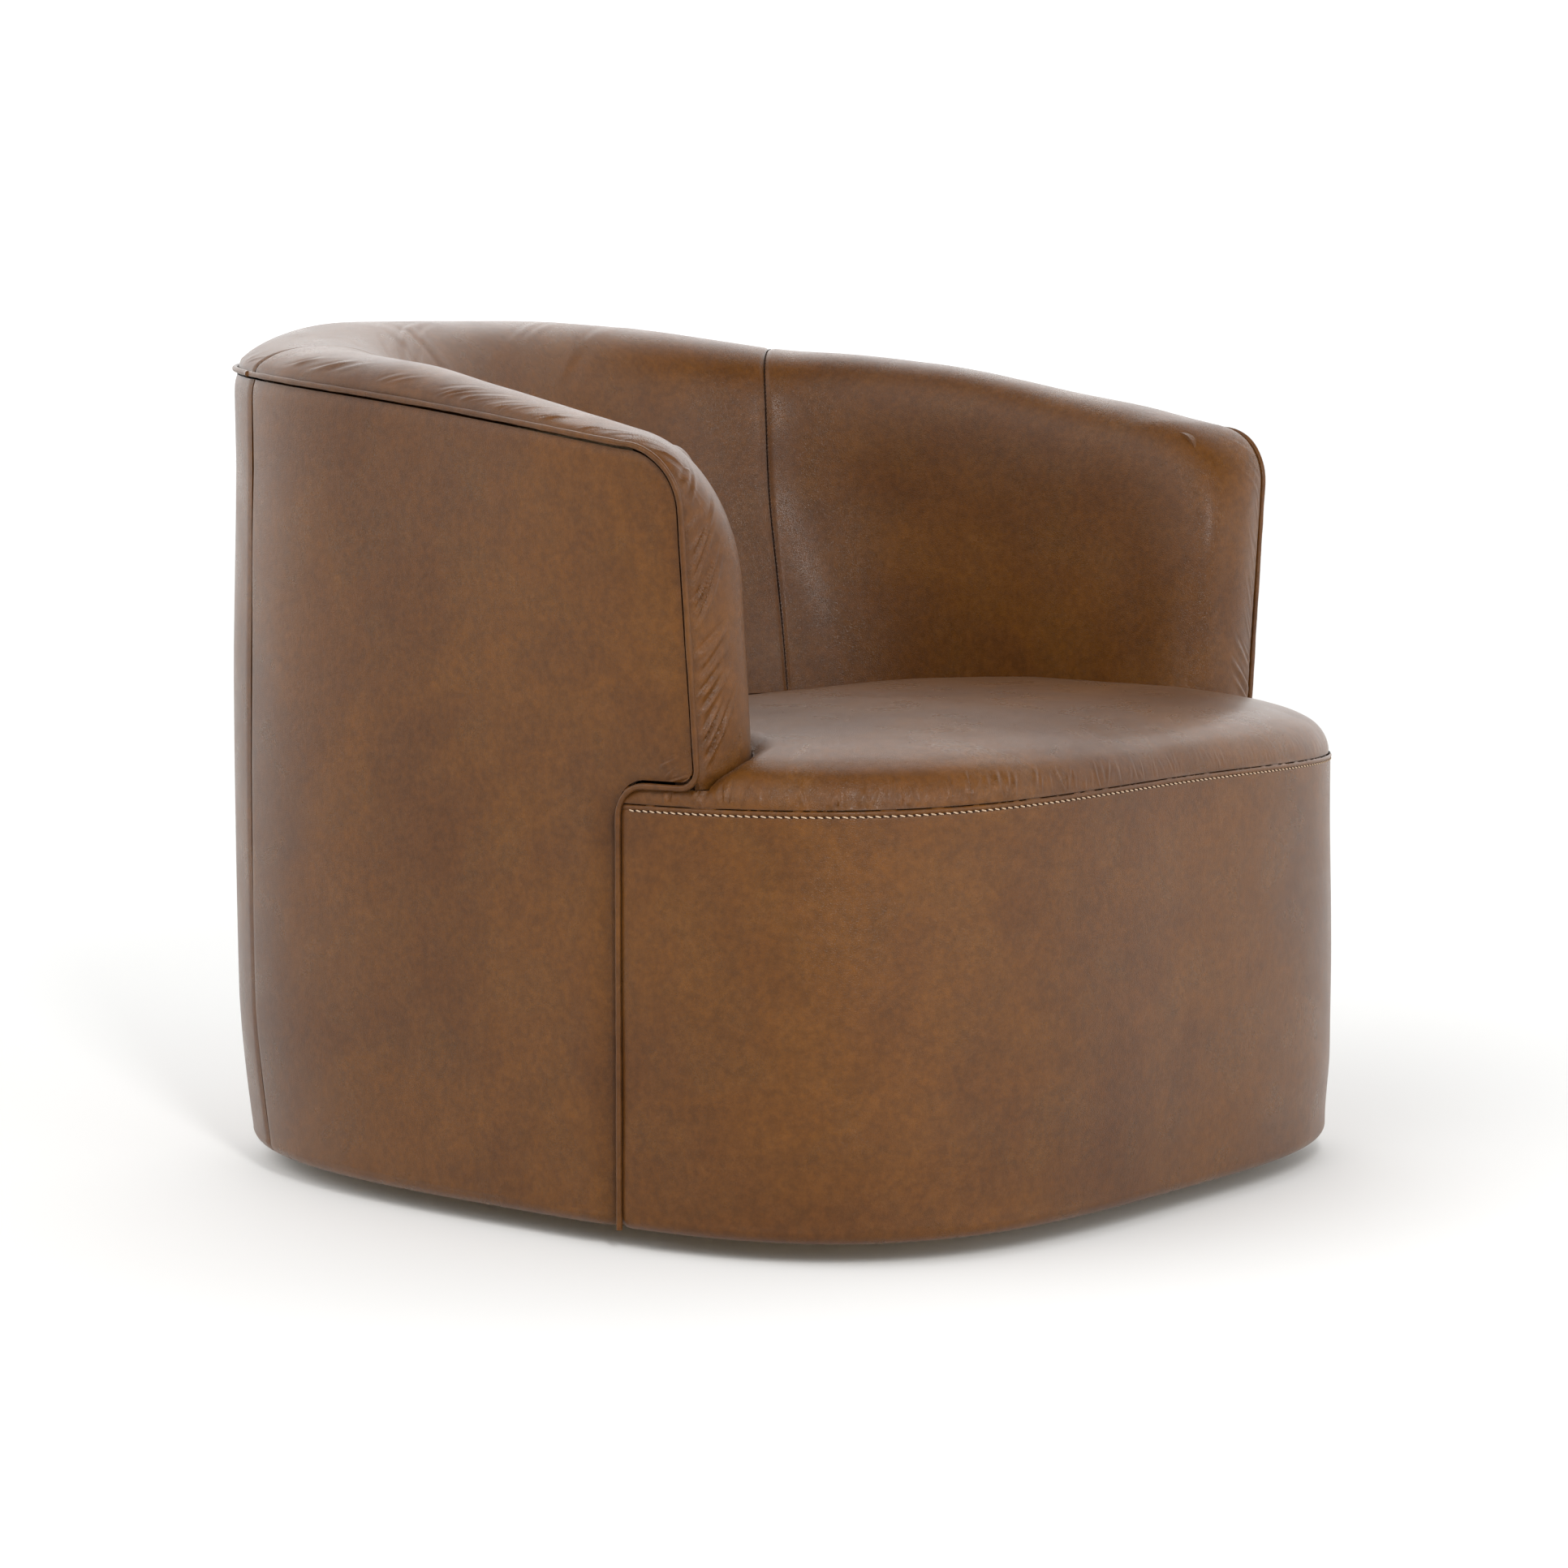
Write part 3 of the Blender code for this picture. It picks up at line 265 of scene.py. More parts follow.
def unit(vectors):
    return vectors / np.linalg.norm(vectors, axis=-1, keepdims=True)


def lineLength(line):
    return np.linalg.norm(np.diff(line, axis=0), axis=1).sum()


def faceOutwards(shape):
    bmesh.ops.recalc_face_normals(shape, faces=shape.faces)


def pointsOf(piece):
    points = np.empty(len(piece.data.vertices) * 3)
    piece.data.vertices.foreach_get("co", points)
    return points.reshape(-1, 3)


def addObject(name, data):
    piece = bpy.data.objects.new(name, data)
    bpy.context.scene.collection.objects.link(piece)
    return piece


def mirrored(places, side):
    return places * np.array([side, 1, 1])


def sheetNormals(places):
    normals = np.cross(np.gradient(places, axis=0), np.gradient(places, axis=1))
    size = np.linalg.norm(normals, axis=-1, keepdims=True)
    return normals / np.maximum(size, 1e-12)


def pushOut(places, amount, outside):
    # moves a sheet along its own normals, outside is +1 or -1 for the side that faces out
    return places + sheetNormals(places) * (amount * outside)[..., None]


def walkLengths(places, axis):
    steps = np.linalg.norm(np.diff(places, axis=axis), axis=-1)
    start = np.zeros_like(np.take(steps, [0], axis=axis))
    return np.concatenate([start, np.cumsum(steps, axis=axis)], axis=axis)


def softNoise(places, size, seed):
    # smooth bumps about size metres across, between -1 and 1
    flat = places.reshape(-1, 3) / size + seed * 7.31
    values = np.fromiter((noise.noise(Vector(p)) for p in flat), float, len(flat))
    return values.reshape(places.shape[:-1])


def smoothRows(control, samples):
    # a smooth line through the control rows, sampled at shares of its mean length
    steps = np.linalg.norm(np.diff(control, axis=0), axis=-1).mean(axis=1)
    knots = np.concatenate([[0], np.cumsum(steps)])
    slopes = np.diff(control, axis=0) / steps[:, None, None]
    weights = steps[:-1] / (steps[:-1] + steps[1:])
    middle = slopes[:-1] * (1 - weights)[:, None, None] + slopes[1:] * weights[:, None, None]
    tangents = np.concatenate([slopes[:1], middle, slopes[-1:]])
    spots = samples * knots[-1]
    span = np.clip(np.searchsorted(knots, spots, side="right") - 1, 0, len(steps) - 1)
    share = ((spots - knots[span]) / steps[span])[:, None, None]
    size = steps[span][:, None, None]
    first, last = control[span], control[span + 1]
    return ((2 * share ** 3 - 3 * share ** 2 + 1) * first
            + (share ** 3 - 2 * share ** 2 + share) * size * tangents[span]
            + (-2 * share ** 3 + 3 * share ** 2) * last
            + (share ** 3 - share ** 2) * size * tangents[span + 1])


def sheetFromPlaces(name, places, wrap=False):
    # a grid is added and each point goes to its place, wrap joins the last column to the first
    if wrap:
        places = np.concatenate([places, places[:, :1]], axis=1)
    rows, columns = places.shape[:2]
    deselectAll()
    bpy.ops.mesh.primitive_grid_add(x_subdivisions=columns - 1, y_subdivisions=rows - 1, size=1)
    sheet = bpy.context.object
    sheet.name = name
    sheet.data.name = name
    assert len(sheet.data.vertices) == rows * columns, name
    sheet.data.vertices.foreach_set("co", places.reshape(-1))
    sheet.data.update()
    return sheet


mergeGap = 0.00001


def closeSheet(sheet, sharpAngle=50):
    # joins the wrapped edge, closes the two ends and turns all faces outwards
    def close(shape):
        bmesh.ops.remove_doubles(shape, verts=shape.verts, dist=mergeGap)
        known = set(shape.faces)
        bmesh.ops.holes_fill(shape, edges=shape.edges, sides=0)
        bmesh.ops.triangulate(shape, faces=[face for face in shape.faces if face not in known])
        faceOutwards(shape)

    editMesh(sheet, close)
    smoothPiece(sheet, sharpAngle)


def smoothPiece(piece, sharpAngle=50):
    makeActive(piece)
    bpy.ops.object.shade_smooth_by_angle(angle=math.radians(sharpAngle))


def thicken(sheet, thickness):
    # gives an open sheet its thickness on the inner side
    solid = sheet.modifiers.new("thickness", "SOLIDIFY")
    solid.thickness = thickness
    solid.offset = -1
    applyModifiers(sheet)
    editMesh(sheet, faceOutwards)


def foldField(along, across, folds):
    # sum of small ridges, each leans by its slant as it leaves the seam
    field = np.zeros_like(along)
    for start, slant, width, begin, reach, height in folds:
        centre = start + slant * (across - begin)
        offset = (along - centre) / width
        ridge = np.exp(-offset ** 2) - 0.7 * np.exp(-((offset - 1.3) / 0.6) ** 2)
        rise = ramp((across - begin) / (reach * 0.25))
        fall = 1 - ramp((across - begin - reach * 0.35) / (reach * 0.65))
        field += height * ridge * rise * fall
    return field


def seamTuck(distance, depth, width):
    return -depth * np.exp(-(distance / width) ** 2)


# Outline of the welt in the side view

def notchCut(z):
    # how far the round corner of the notch reaches into the front panel at each height
    radius = sideLines["notchFillet"]
    above = np.clip(z - sideLines["notchHeight"] + radius, 0, radius)
    return radius - np.sqrt(radius ** 2 - above ** 2)


def arcPoints(centreY, centreZ, radius, start, end, steps):
    turns = np.radians(np.linspace(start, end, steps + 1))
    return np.stack([centreY + radius * np.cos(turns), centreZ + radius * np.sin(turns)], -1)


def weltSideLine(inset=0.0):
    # from the floor up the notch, round the toe, up the arm front, round the corner, to the rear seam
    s = sideLines
    notch = [[s["notchY"] + inset, s["hemHeight"]]]
    fillet = arcPoints(s["notchY"] - s["notchFillet"], s["notchHeight"] - s["notchFillet"],
                       s["notchFillet"] + inset, 0, 90, 14)
    toe = arcPoints(s["armFrontY"] + s["toeRadius"], s["notchHeight"] + s["toeRadius"],
                    s["toeRadius"] - inset, 270, 180, 12)
    cornerY = s["armFrontY"] + s["armCornerRadius"]
    cornerZ = float(rimHeight(cornerY)) - s["armCornerRadius"]
    corner = arcPoints(cornerY, cornerZ, s["armCornerRadius"] - inset, 180, 90, 24)
    rimY = np.linspace(cornerY, s["rearSeamY"], 60)[1:]
    rim = np.stack([rimY, rimHeight(rimY) - inset], -1)
    return notch, fillet, toe, corner, rim


def evenLine(points, count):
    points = np.asarray(points, float)
    reach = np.concatenate([[0], np.cumsum(np.linalg.norm(np.diff(points, axis=0), axis=1))])
    spots = np.linspace(0, reach[-1], count)
    return np.stack([np.interp(spots, reach, points[:, k]) for k in range(points.shape[1])], -1)


def distanceToLine(points, line):
    # shortest distance in the plane from each point to a broken line
    best = np.full(points.shape[:-1], 9.0)
    for first, last in zip(line[:-1], line[1:]):
        step = last - first
        size = step @ step
        if size < 1e-14:
            continue
        share = np.clip(((points - first) @ step) / size, 0, 1)
        gap = np.linalg.norm(points - first - share[..., None] * step, axis=-1)
        best = np.minimum(best, gap)
    return best


# Materials

def newMaterial(name):
    material = bpy.data.materials.new(name)
    material.use_nodes = True
    tree = material.node_tree
    return material, tree, addNode(tree, "TexCoord").outputs["Object"]


def setInput(tree, socket, value):
    # a value is a number, a colour, a vector or another node's output
    if isinstance(value, bpy.types.NodeSocket):
        tree.links.new(value, socket)
    else:
        socket.default_value = (*value, 1) if socket.type == "RGBA" else value


def setShader(material, values):
    tree = material.node_tree
    for name, value in values.items():
        setInput(tree, tree.nodes["Principled BSDF"].inputs[name], value)
    return material


def addNode(tree, kind, **settings):
    node = tree.nodes.new("ShaderNode" + kind)
    for key, value in settings.items():
        if key in node.inputs:
            setInput(tree, node.inputs[key], value)
        else:
            setattr(node, key, value)
    return node


def noiseNode(tree, source, scale, detail=3.0, roughness=0.5, distortion=0.0):
    return addNode(tree, "TexNoise", Vector=source, Scale=scale, Detail=detail, Roughness=roughness,
                   Distortion=distortion).outputs["Fac"]


def rampNode(tree, source, stops):
    node = addNode(tree, "ValToRGB", Fac=source)
    line = node.color_ramp
    while len(line.elements) < len(stops):
        line.elements.new(0.5)
    for element, (place, colour) in zip(line.elements, stops):
        element.position = place
        element.color = (*colour, 1)
    return node.outputs["Color"]


def fillNode(node, tree, *values):
    for socket, value in zip(node.inputs, values):
        setInput(tree, socket, value)
    return node.outputs[0]


def rangeNode(tree, source, low, high, outLow, outHigh):
    return fillNode(addNode(tree, "MapRange"), tree, source, low, high, outLow, outHigh)


def mixNode(tree, share, first, second, blend="MIX"):
    node = addNode(tree, "Mix", data_type="RGBA", blend_type=blend)
    shareSocket, firstSocket, secondSocket, colourSocket = 0, 6, 7, 2
    for number, value in ((shareSocket, share), (firstSocket, first), (secondSocket, second)):
        setInput(tree, node.inputs[number], value)
    return node.outputs[colourSocket]


def mathNode(tree, operation, first, second=0.0):
    return fillNode(addNode(tree, "Math", operation=operation), tree, first, second)


def bumpNode(tree, height, distance, strength, normal=None):
    node = addNode(tree, "Bump", Height=height, Distance=distance, Strength=strength)
    if normal:
        tree.links.new(normal, node.inputs["Normal"])
    return node.outputs["Normal"]


leatherLook = {
    "deep": (0.0765, 0.0254, 0.0038),
    "middle": (0.0935, 0.0322, 0.0045),
    "warm": (0.1115, 0.0388, 0.0044),
    "pale": (0.1060, 0.0460, 0.0105),
    "light": (0.185, 0.098, 0.045),
    # the crease colour is painted shade for seams, welt edges and creases
    "paintedCreaseShade": (0.014, 0.006, 0.003),
    "tones": ((0.30, "deep"), (0.47, "middle"), (0.58, "warm"), (0.74, "middle")),
    # noises: scale, detail, roughness, distortion
    "mottle": (5.0, 4, 0.55, 0.4),
    "patch": (16.0, 5, 0.6, 0.6),
    "speckle": (144.0, 4, 0.65),
    "cloudlet": (48.0, 5, 0.62, 0.8),
    "crackle": (230.0, 3, 0.5, 1.6),
    "crackleSpots": (26.0, 4, 0.6),
    "waves": (150.0, 3, 0.55),
    # ranges: from low, from high, to low, to high
    "paleRange": (0.45, 0.75, 0.0, 0.32),
    "darkRange": (0.42, 0.25, 0.0, 0.25),
    "speckleRange": (0.38, 0.64, 0.85, 1.14),
    "cloudletRange": (0.34, 0.66, 0.92, 1.08),
    "crackleRange": (0.0, 0.045, 1.0, 0.0),
    "spotRange": (0.44, 0.64, 0.0, 0.16),
    "cellRange": (0.0, 0.16, 0.0, 1.0),
    "glossRange": (0.3, 0.7, 0.34, 0.25),
    # grain: cells to the unit, their wobble, and each bump's distance and strength
    "grainSize": 700.0,
    "grainWobble": 0.0012,
    "waveBump": (0.0006, 0.16),
    "cellBump": (0.00022, 0.40),
    "shader": {"Specular IOR Level": 0.26, "Sheen Weight": 0.04, "Sheen Roughness": 0.4,
               "Sheen Tint": (1.0, 0.93, 0.86)},
}


def leatherMaterial(name, shade=1.0, smooth=1.0):
    look = leatherLook
    material, tree, place = newMaterial(name)

    def shaded(key):
        return tuple(channel * shade for channel in look[key])

    def noiseBy(key):
        return noiseNode(tree, place, *look[key])

    def ranged(source, key):
        return rangeNode(tree, source, *look[key])

    patch = noiseBy("patch")
    colour = rampNode(tree, noiseBy("mottle"), [(spot, shaded(key)) for spot, key in look["tones"]])
    colour = mixNode(tree, ranged(patch, "paleRange"), colour, shaded("pale"))
    colour = mixNode(tree, ranged(patch, "darkRange"), colour, shaded("deep"))
    fleck = mathNode(tree, "MULTIPLY", ranged(noiseBy("speckle"), "speckleRange"),
                     ranged(noiseBy("cloudlet"), "cloudletRange"))
    fleckTone = fillNode(addNode(tree, "CombineColor"), tree, fleck, fleck, fleck)
    colour = mixNode(tree, 1.0, colour, fleckTone, "MULTIPLY")
    # fine light lines where the finish has cracked a little
    crackle = mathNode(tree, "ABSOLUTE", mathNode(tree, "SUBTRACT", noiseBy("crackle"), 0.5))
    crackle = mathNode(tree, "MULTIPLY", ranged(crackle, "crackleRange"),
                       ranged(noiseBy("crackleSpots"), "spotRange"))
    colour = mixNode(tree, crackle, colour, shaded("light"))
    # painted shade: darkens towards the crease colour where the attribute marks seams, welts and creases
    seam = addNode(tree, "Attribute", attribute_name="paintedSeamShade").outputs["Fac"]
    colour = mixNode(tree, seam, colour, shaded("paintedCreaseShade"))

    # grain: small closed cells over slow ripples
    wobble = addNode(tree, "TexNoise", Vector=place, Scale=look["grainSize"] * 0.5).outputs["Color"]
    shifted = fillNode(addNode(tree, "VectorMath", operation="MULTIPLY_ADD"), tree, wobble,
                       (look["grainWobble"],) * 3, place)
    grain = addNode(tree, "TexVoronoi", feature="DISTANCE_TO_EDGE", Vector=shifted,
                    Scale=look["grainSize"])
    (waveDepth, waveStrength), (cellDepth, cellStrength) = look["waveBump"], look["cellBump"]
    normal = bumpNode(tree, noiseBy("waves"), waveDepth, waveStrength * smooth)
    cells = ranged(grain.outputs["Distance"], "cellRange")
    normal = bumpNode(tree, cells, cellDepth, cellStrength * smooth, normal)
    return setShader(material, {"Base Color": colour, "Normal": normal,
                                "Roughness": ranged(patch, "glossRange"), **look["shader"]})


leather = leatherMaterial("waxedLeather")
cordLeather = leatherMaterial("weltLeather", 0.95, 0.8)


def threadMaterial(name, light, dark):
    material, tree, place = newMaterial(name)
    wave = addNode(tree, "TexWave", bands_direction="DIAGONAL", Vector=place, Scale=900.0,
                   Distortion=2.0).outputs["Fac"]
    return setShader(material, {"Base Color": rampNode(tree, wave, [(0.2, dark), (0.7, light)]),
                                "Normal": bumpNode(tree, wave, 0.0002, 0.5),
                                "Roughness": 0.8, "Specular IOR Level": 0.15})


lightThread = threadMaterial("naturalThread", (0.60, 0.45, 0.32), (0.40, 0.28, 0.185))
# the dark brown is thread in the inner seams and painted shadow in the needle holes
darkThreadAndHoleShade = threadMaterial("brownThreadAndHoleShade", (0.040, 0.018, 0.009), (0.020, 0.009, 0.005))


def dress(piece, material, node=None):
    # node is the imported solid it takes the place of
    piece.data.materials.clear()
    piece.data.materials.append(material)
    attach(piece, "chair")
    if node:
        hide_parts(node)


def paintSeamShade(piece, values):
    # how much painted shade each point gets beside a seam, 0 to 1
    layer = piece.data.attributes.new("paintedSeamShade", "FLOAT", "POINT")
    layer.data.foreach_set("value", np.clip(values, 0, 1).astype(np.float32).reshape(-1))


def paintShadeByDistance(piece, paintedShadeLines):
    # each painted shade line has its own width and strength
    points = pointsOf(piece)
    shade = np.zeros(len(points))
    for line, width, strength in paintedShadeLines:
        shade = np.maximum(shade, strength * np.exp(-(distanceToLine(points, line) / width) ** 2))
    paintSeamShade(piece, shade)


# Padded covers of arms and back

armPads = {
    "backRollRise": 0.039,
    "riseShares": ((0.0, 0.14), (0.2, 0.36), (0.45, 0.61), (0.65, 0.60), (0.755, 0.54), (0.87, 0.69),
                   (1.0, 1.0)),
    "innerFall": 0.025,
    "frontBulge": 0.018,
    "falls": (0.0, 0.0, 0.0, 0.0, 0.0, 0.06, 0.30, 0.75, 1.35),
    "noses": (0.0, 0.0, 0.30, 0.74, 1.06, 1.11, 0.56, -0.30, -1.19),
    "corners": (1.0, 1.06, 1.25, 1.62, 2.05, 2.4, 2.62, 2.72, 2.8),
    "faceFall": 1.35,
    "faceNose": -1.9,
    "faceCorner": 2.8,
    "faceRise": -0.75,
    "frontPadding": 0.022,
    "faceReach": 0.11,
    "faceShare": 0.69,
    "panelEdge": 0.127,
    "softGap": 0.0005,
    "roll": ((0.0, 0.0), (0.03, 0.26), (0.12, 0.68), (0.28, 0.95), (0.46, 1.0),
             (0.64, 0.95), (0.80, 0.80), (0.92, 0.45), (0.985, -0.10)),
    "backing": ((0.155, -0.30), (0.165, 0.03), (0.22, 0.16), (0.32, 0.22), (0.46, 0.24),
                (0.58, 0.20), (0.66, 0.10), (0.703, 0.02), (0.703, -0.30), (0.703, -0.75)),
    "faceDrops": (0.27, 0.50, 0.73, 0.93),
    "faceDepths": (1.02, 1.03, 1.02, 1.0),
    "seamLean": 0.045,
    "leanByDepth": ((0.03, 0.0), (0.12, 0.12), (0.28, 0.32), (0.46, 0.56), (0.80, 1.15), (0.92, 1.30)),
    "leanByDrop": ((0.0, 1.32), (0.27, 1.18), (0.50, 0.84), (0.73, 0.50), (0.93, 0.24)),
    "relaxRounds": 90,
    "frontSteps": 150,
    "cornerSteps": 44,
    "topReach": 0.30,
    "topSteps": 170,
    "alongSteps": 100,
    "backSteps": 380,
    "rollSamples": 96,
    "faceSamples": 84,
}

padFolds = {
    "seamDepth": 0.0016,
    "seamWidth": 0.0030,
    "footDepth": 0.0045,
    "footWidth": 0.008,
    "weltFade": 0.002,
    "weltSink": 0.0034,
    "weltWidth": 0.0060,
    # painted shade beside the end seams and beside the welt: width, strength
    "armPaintedShade": ((0.0010, 0.45), (0.0020, 0.65)),
    "backPaintedShade": ((0.0011, 0.55), (0.0022, 0.75)),
    "rightPull": 0.15,
    "puckers": {"start": 0.014, "past": 0.02, "calm": 0.075, "strength": (0.6, 1.0),
                "heightHigh": 0.0016, "heightLow": 0.0022, "slant": (0.7, 1.5),
                "width": (0.0026, 0.0052), "begin": 0.0035, "reach": (0.026, 0.058),
                "gap": (0.009, 0.019)},
    "top": {"count": 40, "span": (-0.05, 0.24), "slant": (-1.7, -0.8), "width": (0.0015, 0.0030),
            "begin": (0.003, 0.010), "reach": (0.020, 0.040), "height": (0.00025, 0.0008)},
    "rear": {"count": 10, "span": (0.18, 0.45), "slant": (-2.0, -1.0), "width": (0.004, 0.008),
             "begin": (0.006, 0.014), "reach": (0.020, 0.040), "height": (0.0003, 0.0007)},
    "backLeft": {"count": 9, "span": (-0.32, 0.05), "slant": (0.6, 1.3), "width": (0.008, 0.014),
                 "begin": (0.075, 0.12), "reach": (0.10, 0.16), "height": (0.0003, 0.0007)},
    "backRight": {"count": 7, "span": (0.0, 0.32), "slant": (-1.2, -0.5), "width": (0.008, 0.014),
                  "begin": (0.075, 0.12), "reach": (0.08, 0.14), "height": (0.0003, 0.0007)},
    "backTop": {"count": 16, "span": (0.03, -0.03), "slant": (-1.0, 1.0), "width": (0.004, 0.008),
                "begin": (0.001, 0.006), "reach": (0.015, 0.030), "height": (0.0002, 0.0005)},
}


def padRow(depth, lift, rise, drop, reach, corner):
    return {"depth": depth, "lift": lift, "rise": rise, "drop": drop, "reach": reach, "corner": corner}


def coverRows():
    a, slot, corner = armPads, sideLines["slot"] + armPads["softGap"], sideLines["armCornerRadius"]
    rows = []
    for (depth, rise), fall, nose, turn in zip(a["roll"], a["falls"], a["noses"], a["corners"]):
        lift = (slot if rise >= 0 else 0.0) - fall * a["innerFall"]
        reach = (slot if nose >= 0 else 0.0) + nose * a["frontBulge"]
        rows.append(padRow(depth, lift, rise, 0.0, reach, turn * corner))
    for drop, depth in zip(a["faceDrops"], a["faceDepths"]):
        left = 1 - drop
        reach = a["faceNose"] * left * a["frontBulge"] - drop * a["faceReach"]
        rows.append(padRow(depth, -a["faceFall"] * left * a["innerFall"], a["faceRise"] * left, drop,
                           reach, a["faceCorner"] * left * corner))
    return rows


def backingRows():
    a, toe = armPads, sideLines["toeRadius"]
    rows = [padRow(a["panelEdge"], a["softGap"], 0.0, 0.0, 0.0, sideLines["armCornerRadius"])]
    for depth, rise in a["backing"]:
        reach = rise * a["frontBulge"] - a["frontPadding"]
        corner = max(sideLines["armCornerRadius"] + reach, toe * 1.1)
        rows.append(padRow(depth, 0.0, rise, 0.0, reach, corner))
    for drop, depth in zip(a["faceDrops"], a["faceDepths"]):
        rise = a["faceRise"] * (1 - drop)
        reach = rise * a["frontBulge"] - a["frontPadding"] - drop * (a["faceReach"] - a["frontPadding"])
        rows.append(padRow(a["faceShare"] * depth, 0.0, rise, drop, reach, toe * (1.1 - drop)))
    return rows


def rowHeight(y, row):
    top = rimHeight(y) + row["lift"] + row["rise"] * rollRise(y)
    return top - row["drop"] * (rimHeight(y) - sideLines["padFoot"])


def rowPlaces(angle, z, row):
    depth = row["depth"] * wallThickness(angle, np.maximum(z, sideLines["seamHeight"]))
    return wallPoint(angle, depth, z)


def seamLean(row):
    # angle by which the seam between arm and back has moved towards the middle of the back
    key, table = ("drop", "leanByDrop") if row["drop"] > 0 else ("depth", "leanByDepth")
    places, shares = np.array(armPads[table]).T
    return armPads["seamLean"] * float(np.interp(row[key], places, shares))


def armRow(row):
    # up the arm's front, round its corner and back to the rear seam, on the +X side
    s = sideLines
    noseY = s["armFrontY"] - row["reach"]
    radius = row["corner"]
    cornerY = noseY + radius
    rise = float(rowHeight(cornerY + 0.004, row) - rowHeight(cornerY, row)) / 0.004
    lean = math.atan(rise)
    endY = cornerY - radius * math.sin(lean)
    cornerZ = float(rowHeight(cornerY, row)) - rise * (cornerY - endY) - radius * math.cos(lean)
    frontZ = np.linspace(s["padFoot"], cornerZ, armPads["frontSteps"], endpoint=False)
    corner = arcPoints(cornerY, cornerZ, radius, 180, 90 + math.degrees(lean), armPads["cornerSteps"])
    y = np.concatenate([np.full(len(frontZ), noseY), corner[:, 0]])
    z = np.concatenate([frontZ, corner[:, 1]])
    front = rowPlaces(angleAt(y), z, row)
    last = rearSeamAngle - seamHalfGap + seamLean(row)
    middle = float(angleAtLength(lengthAt(angleAt(endY)) + armPads["topReach"]))
    angles = np.concatenate([evenAngles(float(angleAt(endY)), middle, armPads["topSteps"])[1:],
                             evenAngles(middle, last, armPads["alongSteps"])[1:]])
    y = planPoint(angles)[1]
    # the first stretch is straight in the side view, as the rim's own line starts at the corner's middle
    height = np.where(y < cornerY, rowHeight(cornerY, row) - rise * (cornerY - y), rowHeight(y, row))
    along = rowPlaces(angles, height, row)
    return np.concatenate([front, along])


def backRow(row):
    angles = backAngles(armPads["backSteps"], seamLean(row))
    return rowPlaces(angles, rowHeight(planPoint(angles)[1], row), row)


def padSheet(rowPlan):
    # returns the visible cover and the hidden backing as grids, rows run across the pad
    cover = np.stack([rowPlan(row) for row in coverRows()])
    backing = np.stack([rowPlan(row) for row in backingRows()])
    lengths = np.linalg.norm(np.diff(cover, axis=0), axis=-1).mean(axis=1)
    rollShare = lengths[:8].sum() / lengths.sum()
    samples = np.concatenate([np.linspace(0, rollShare, armPads["rollSamples"], endpoint=False),
                              np.linspace(rollShare, 1, armPads["faceSamples"])])
    return relaxRows(smoothRows(cover, samples)), backing


def relaxRows(places, keep=8):
    # evens out the bends across the rows, so that no hard line shows in the sheen
    number = np.arange(len(places))
    weight = 0.5 * ramp(number / keep) * ramp((len(places) - 1 - number) / keep)
    for _ in range(armPads["relaxRounds"]):
        middle = (places[:-2] + places[2:]) / 2
        places[1:-1] += weight[1:-1, None, None] * (middle - places[1:-1])
    return places


def outsideSign(cover, backing):
    normals = sheetNormals(cover)
    middle = backing.mean(axis=0)
    lean = ((cover - middle[None]) * normals).sum(axis=-1)
    return 1.0 if lean.mean() > 0 else -1.0


def randomFolds(dice, plan, start, end, pull=1.0):
    # the folds begin between start and end, each end moved by the plan's span
    span = (start + plan["span"][0], end + plan["span"][1])
    heights = [height * pull for height in plan["height"]]
    ranges = (span, plan["slant"], plan["width"], plan["begin"], plan["reach"], heights)
    return [[dice.uniform(*pair) for pair in ranges] for _ in range(plan["count"])]


def finishPad(name, node, cover, backing, field, seamEnds, shades, side=1):
    # pulls the cover in along the welt and closes it with its backing, returns the finished cover
    p = padFolds
    across = walkLengths(cover, 0)
    field = field * (ramp(across / p["weltFade"]) * 0.9 + 0.1)
    field += seamTuck(across, p["weltSink"], p["weltWidth"])
    cover = mirrored(pushOut(cover, field, outsideSign(cover, backing)), side)
    ring = np.concatenate([cover, mirrored(backing, side)[::-1]]).transpose(1, 0, 2)
    pad = sheetFromPlaces(name, ring, wrap=True)
    closeSheet(pad)
    # painted shade along the end seams and the welt
    paintedSeamShade, paintedWeltShade = p[shades]
    paintShadeByDistance(pad, [(cover[:, end][::3], *paintedSeamShade) for end in seamEnds]
                    + [(cover[0][::3], *paintedWeltShade)])
    dress(pad, leather, node)
    return cover


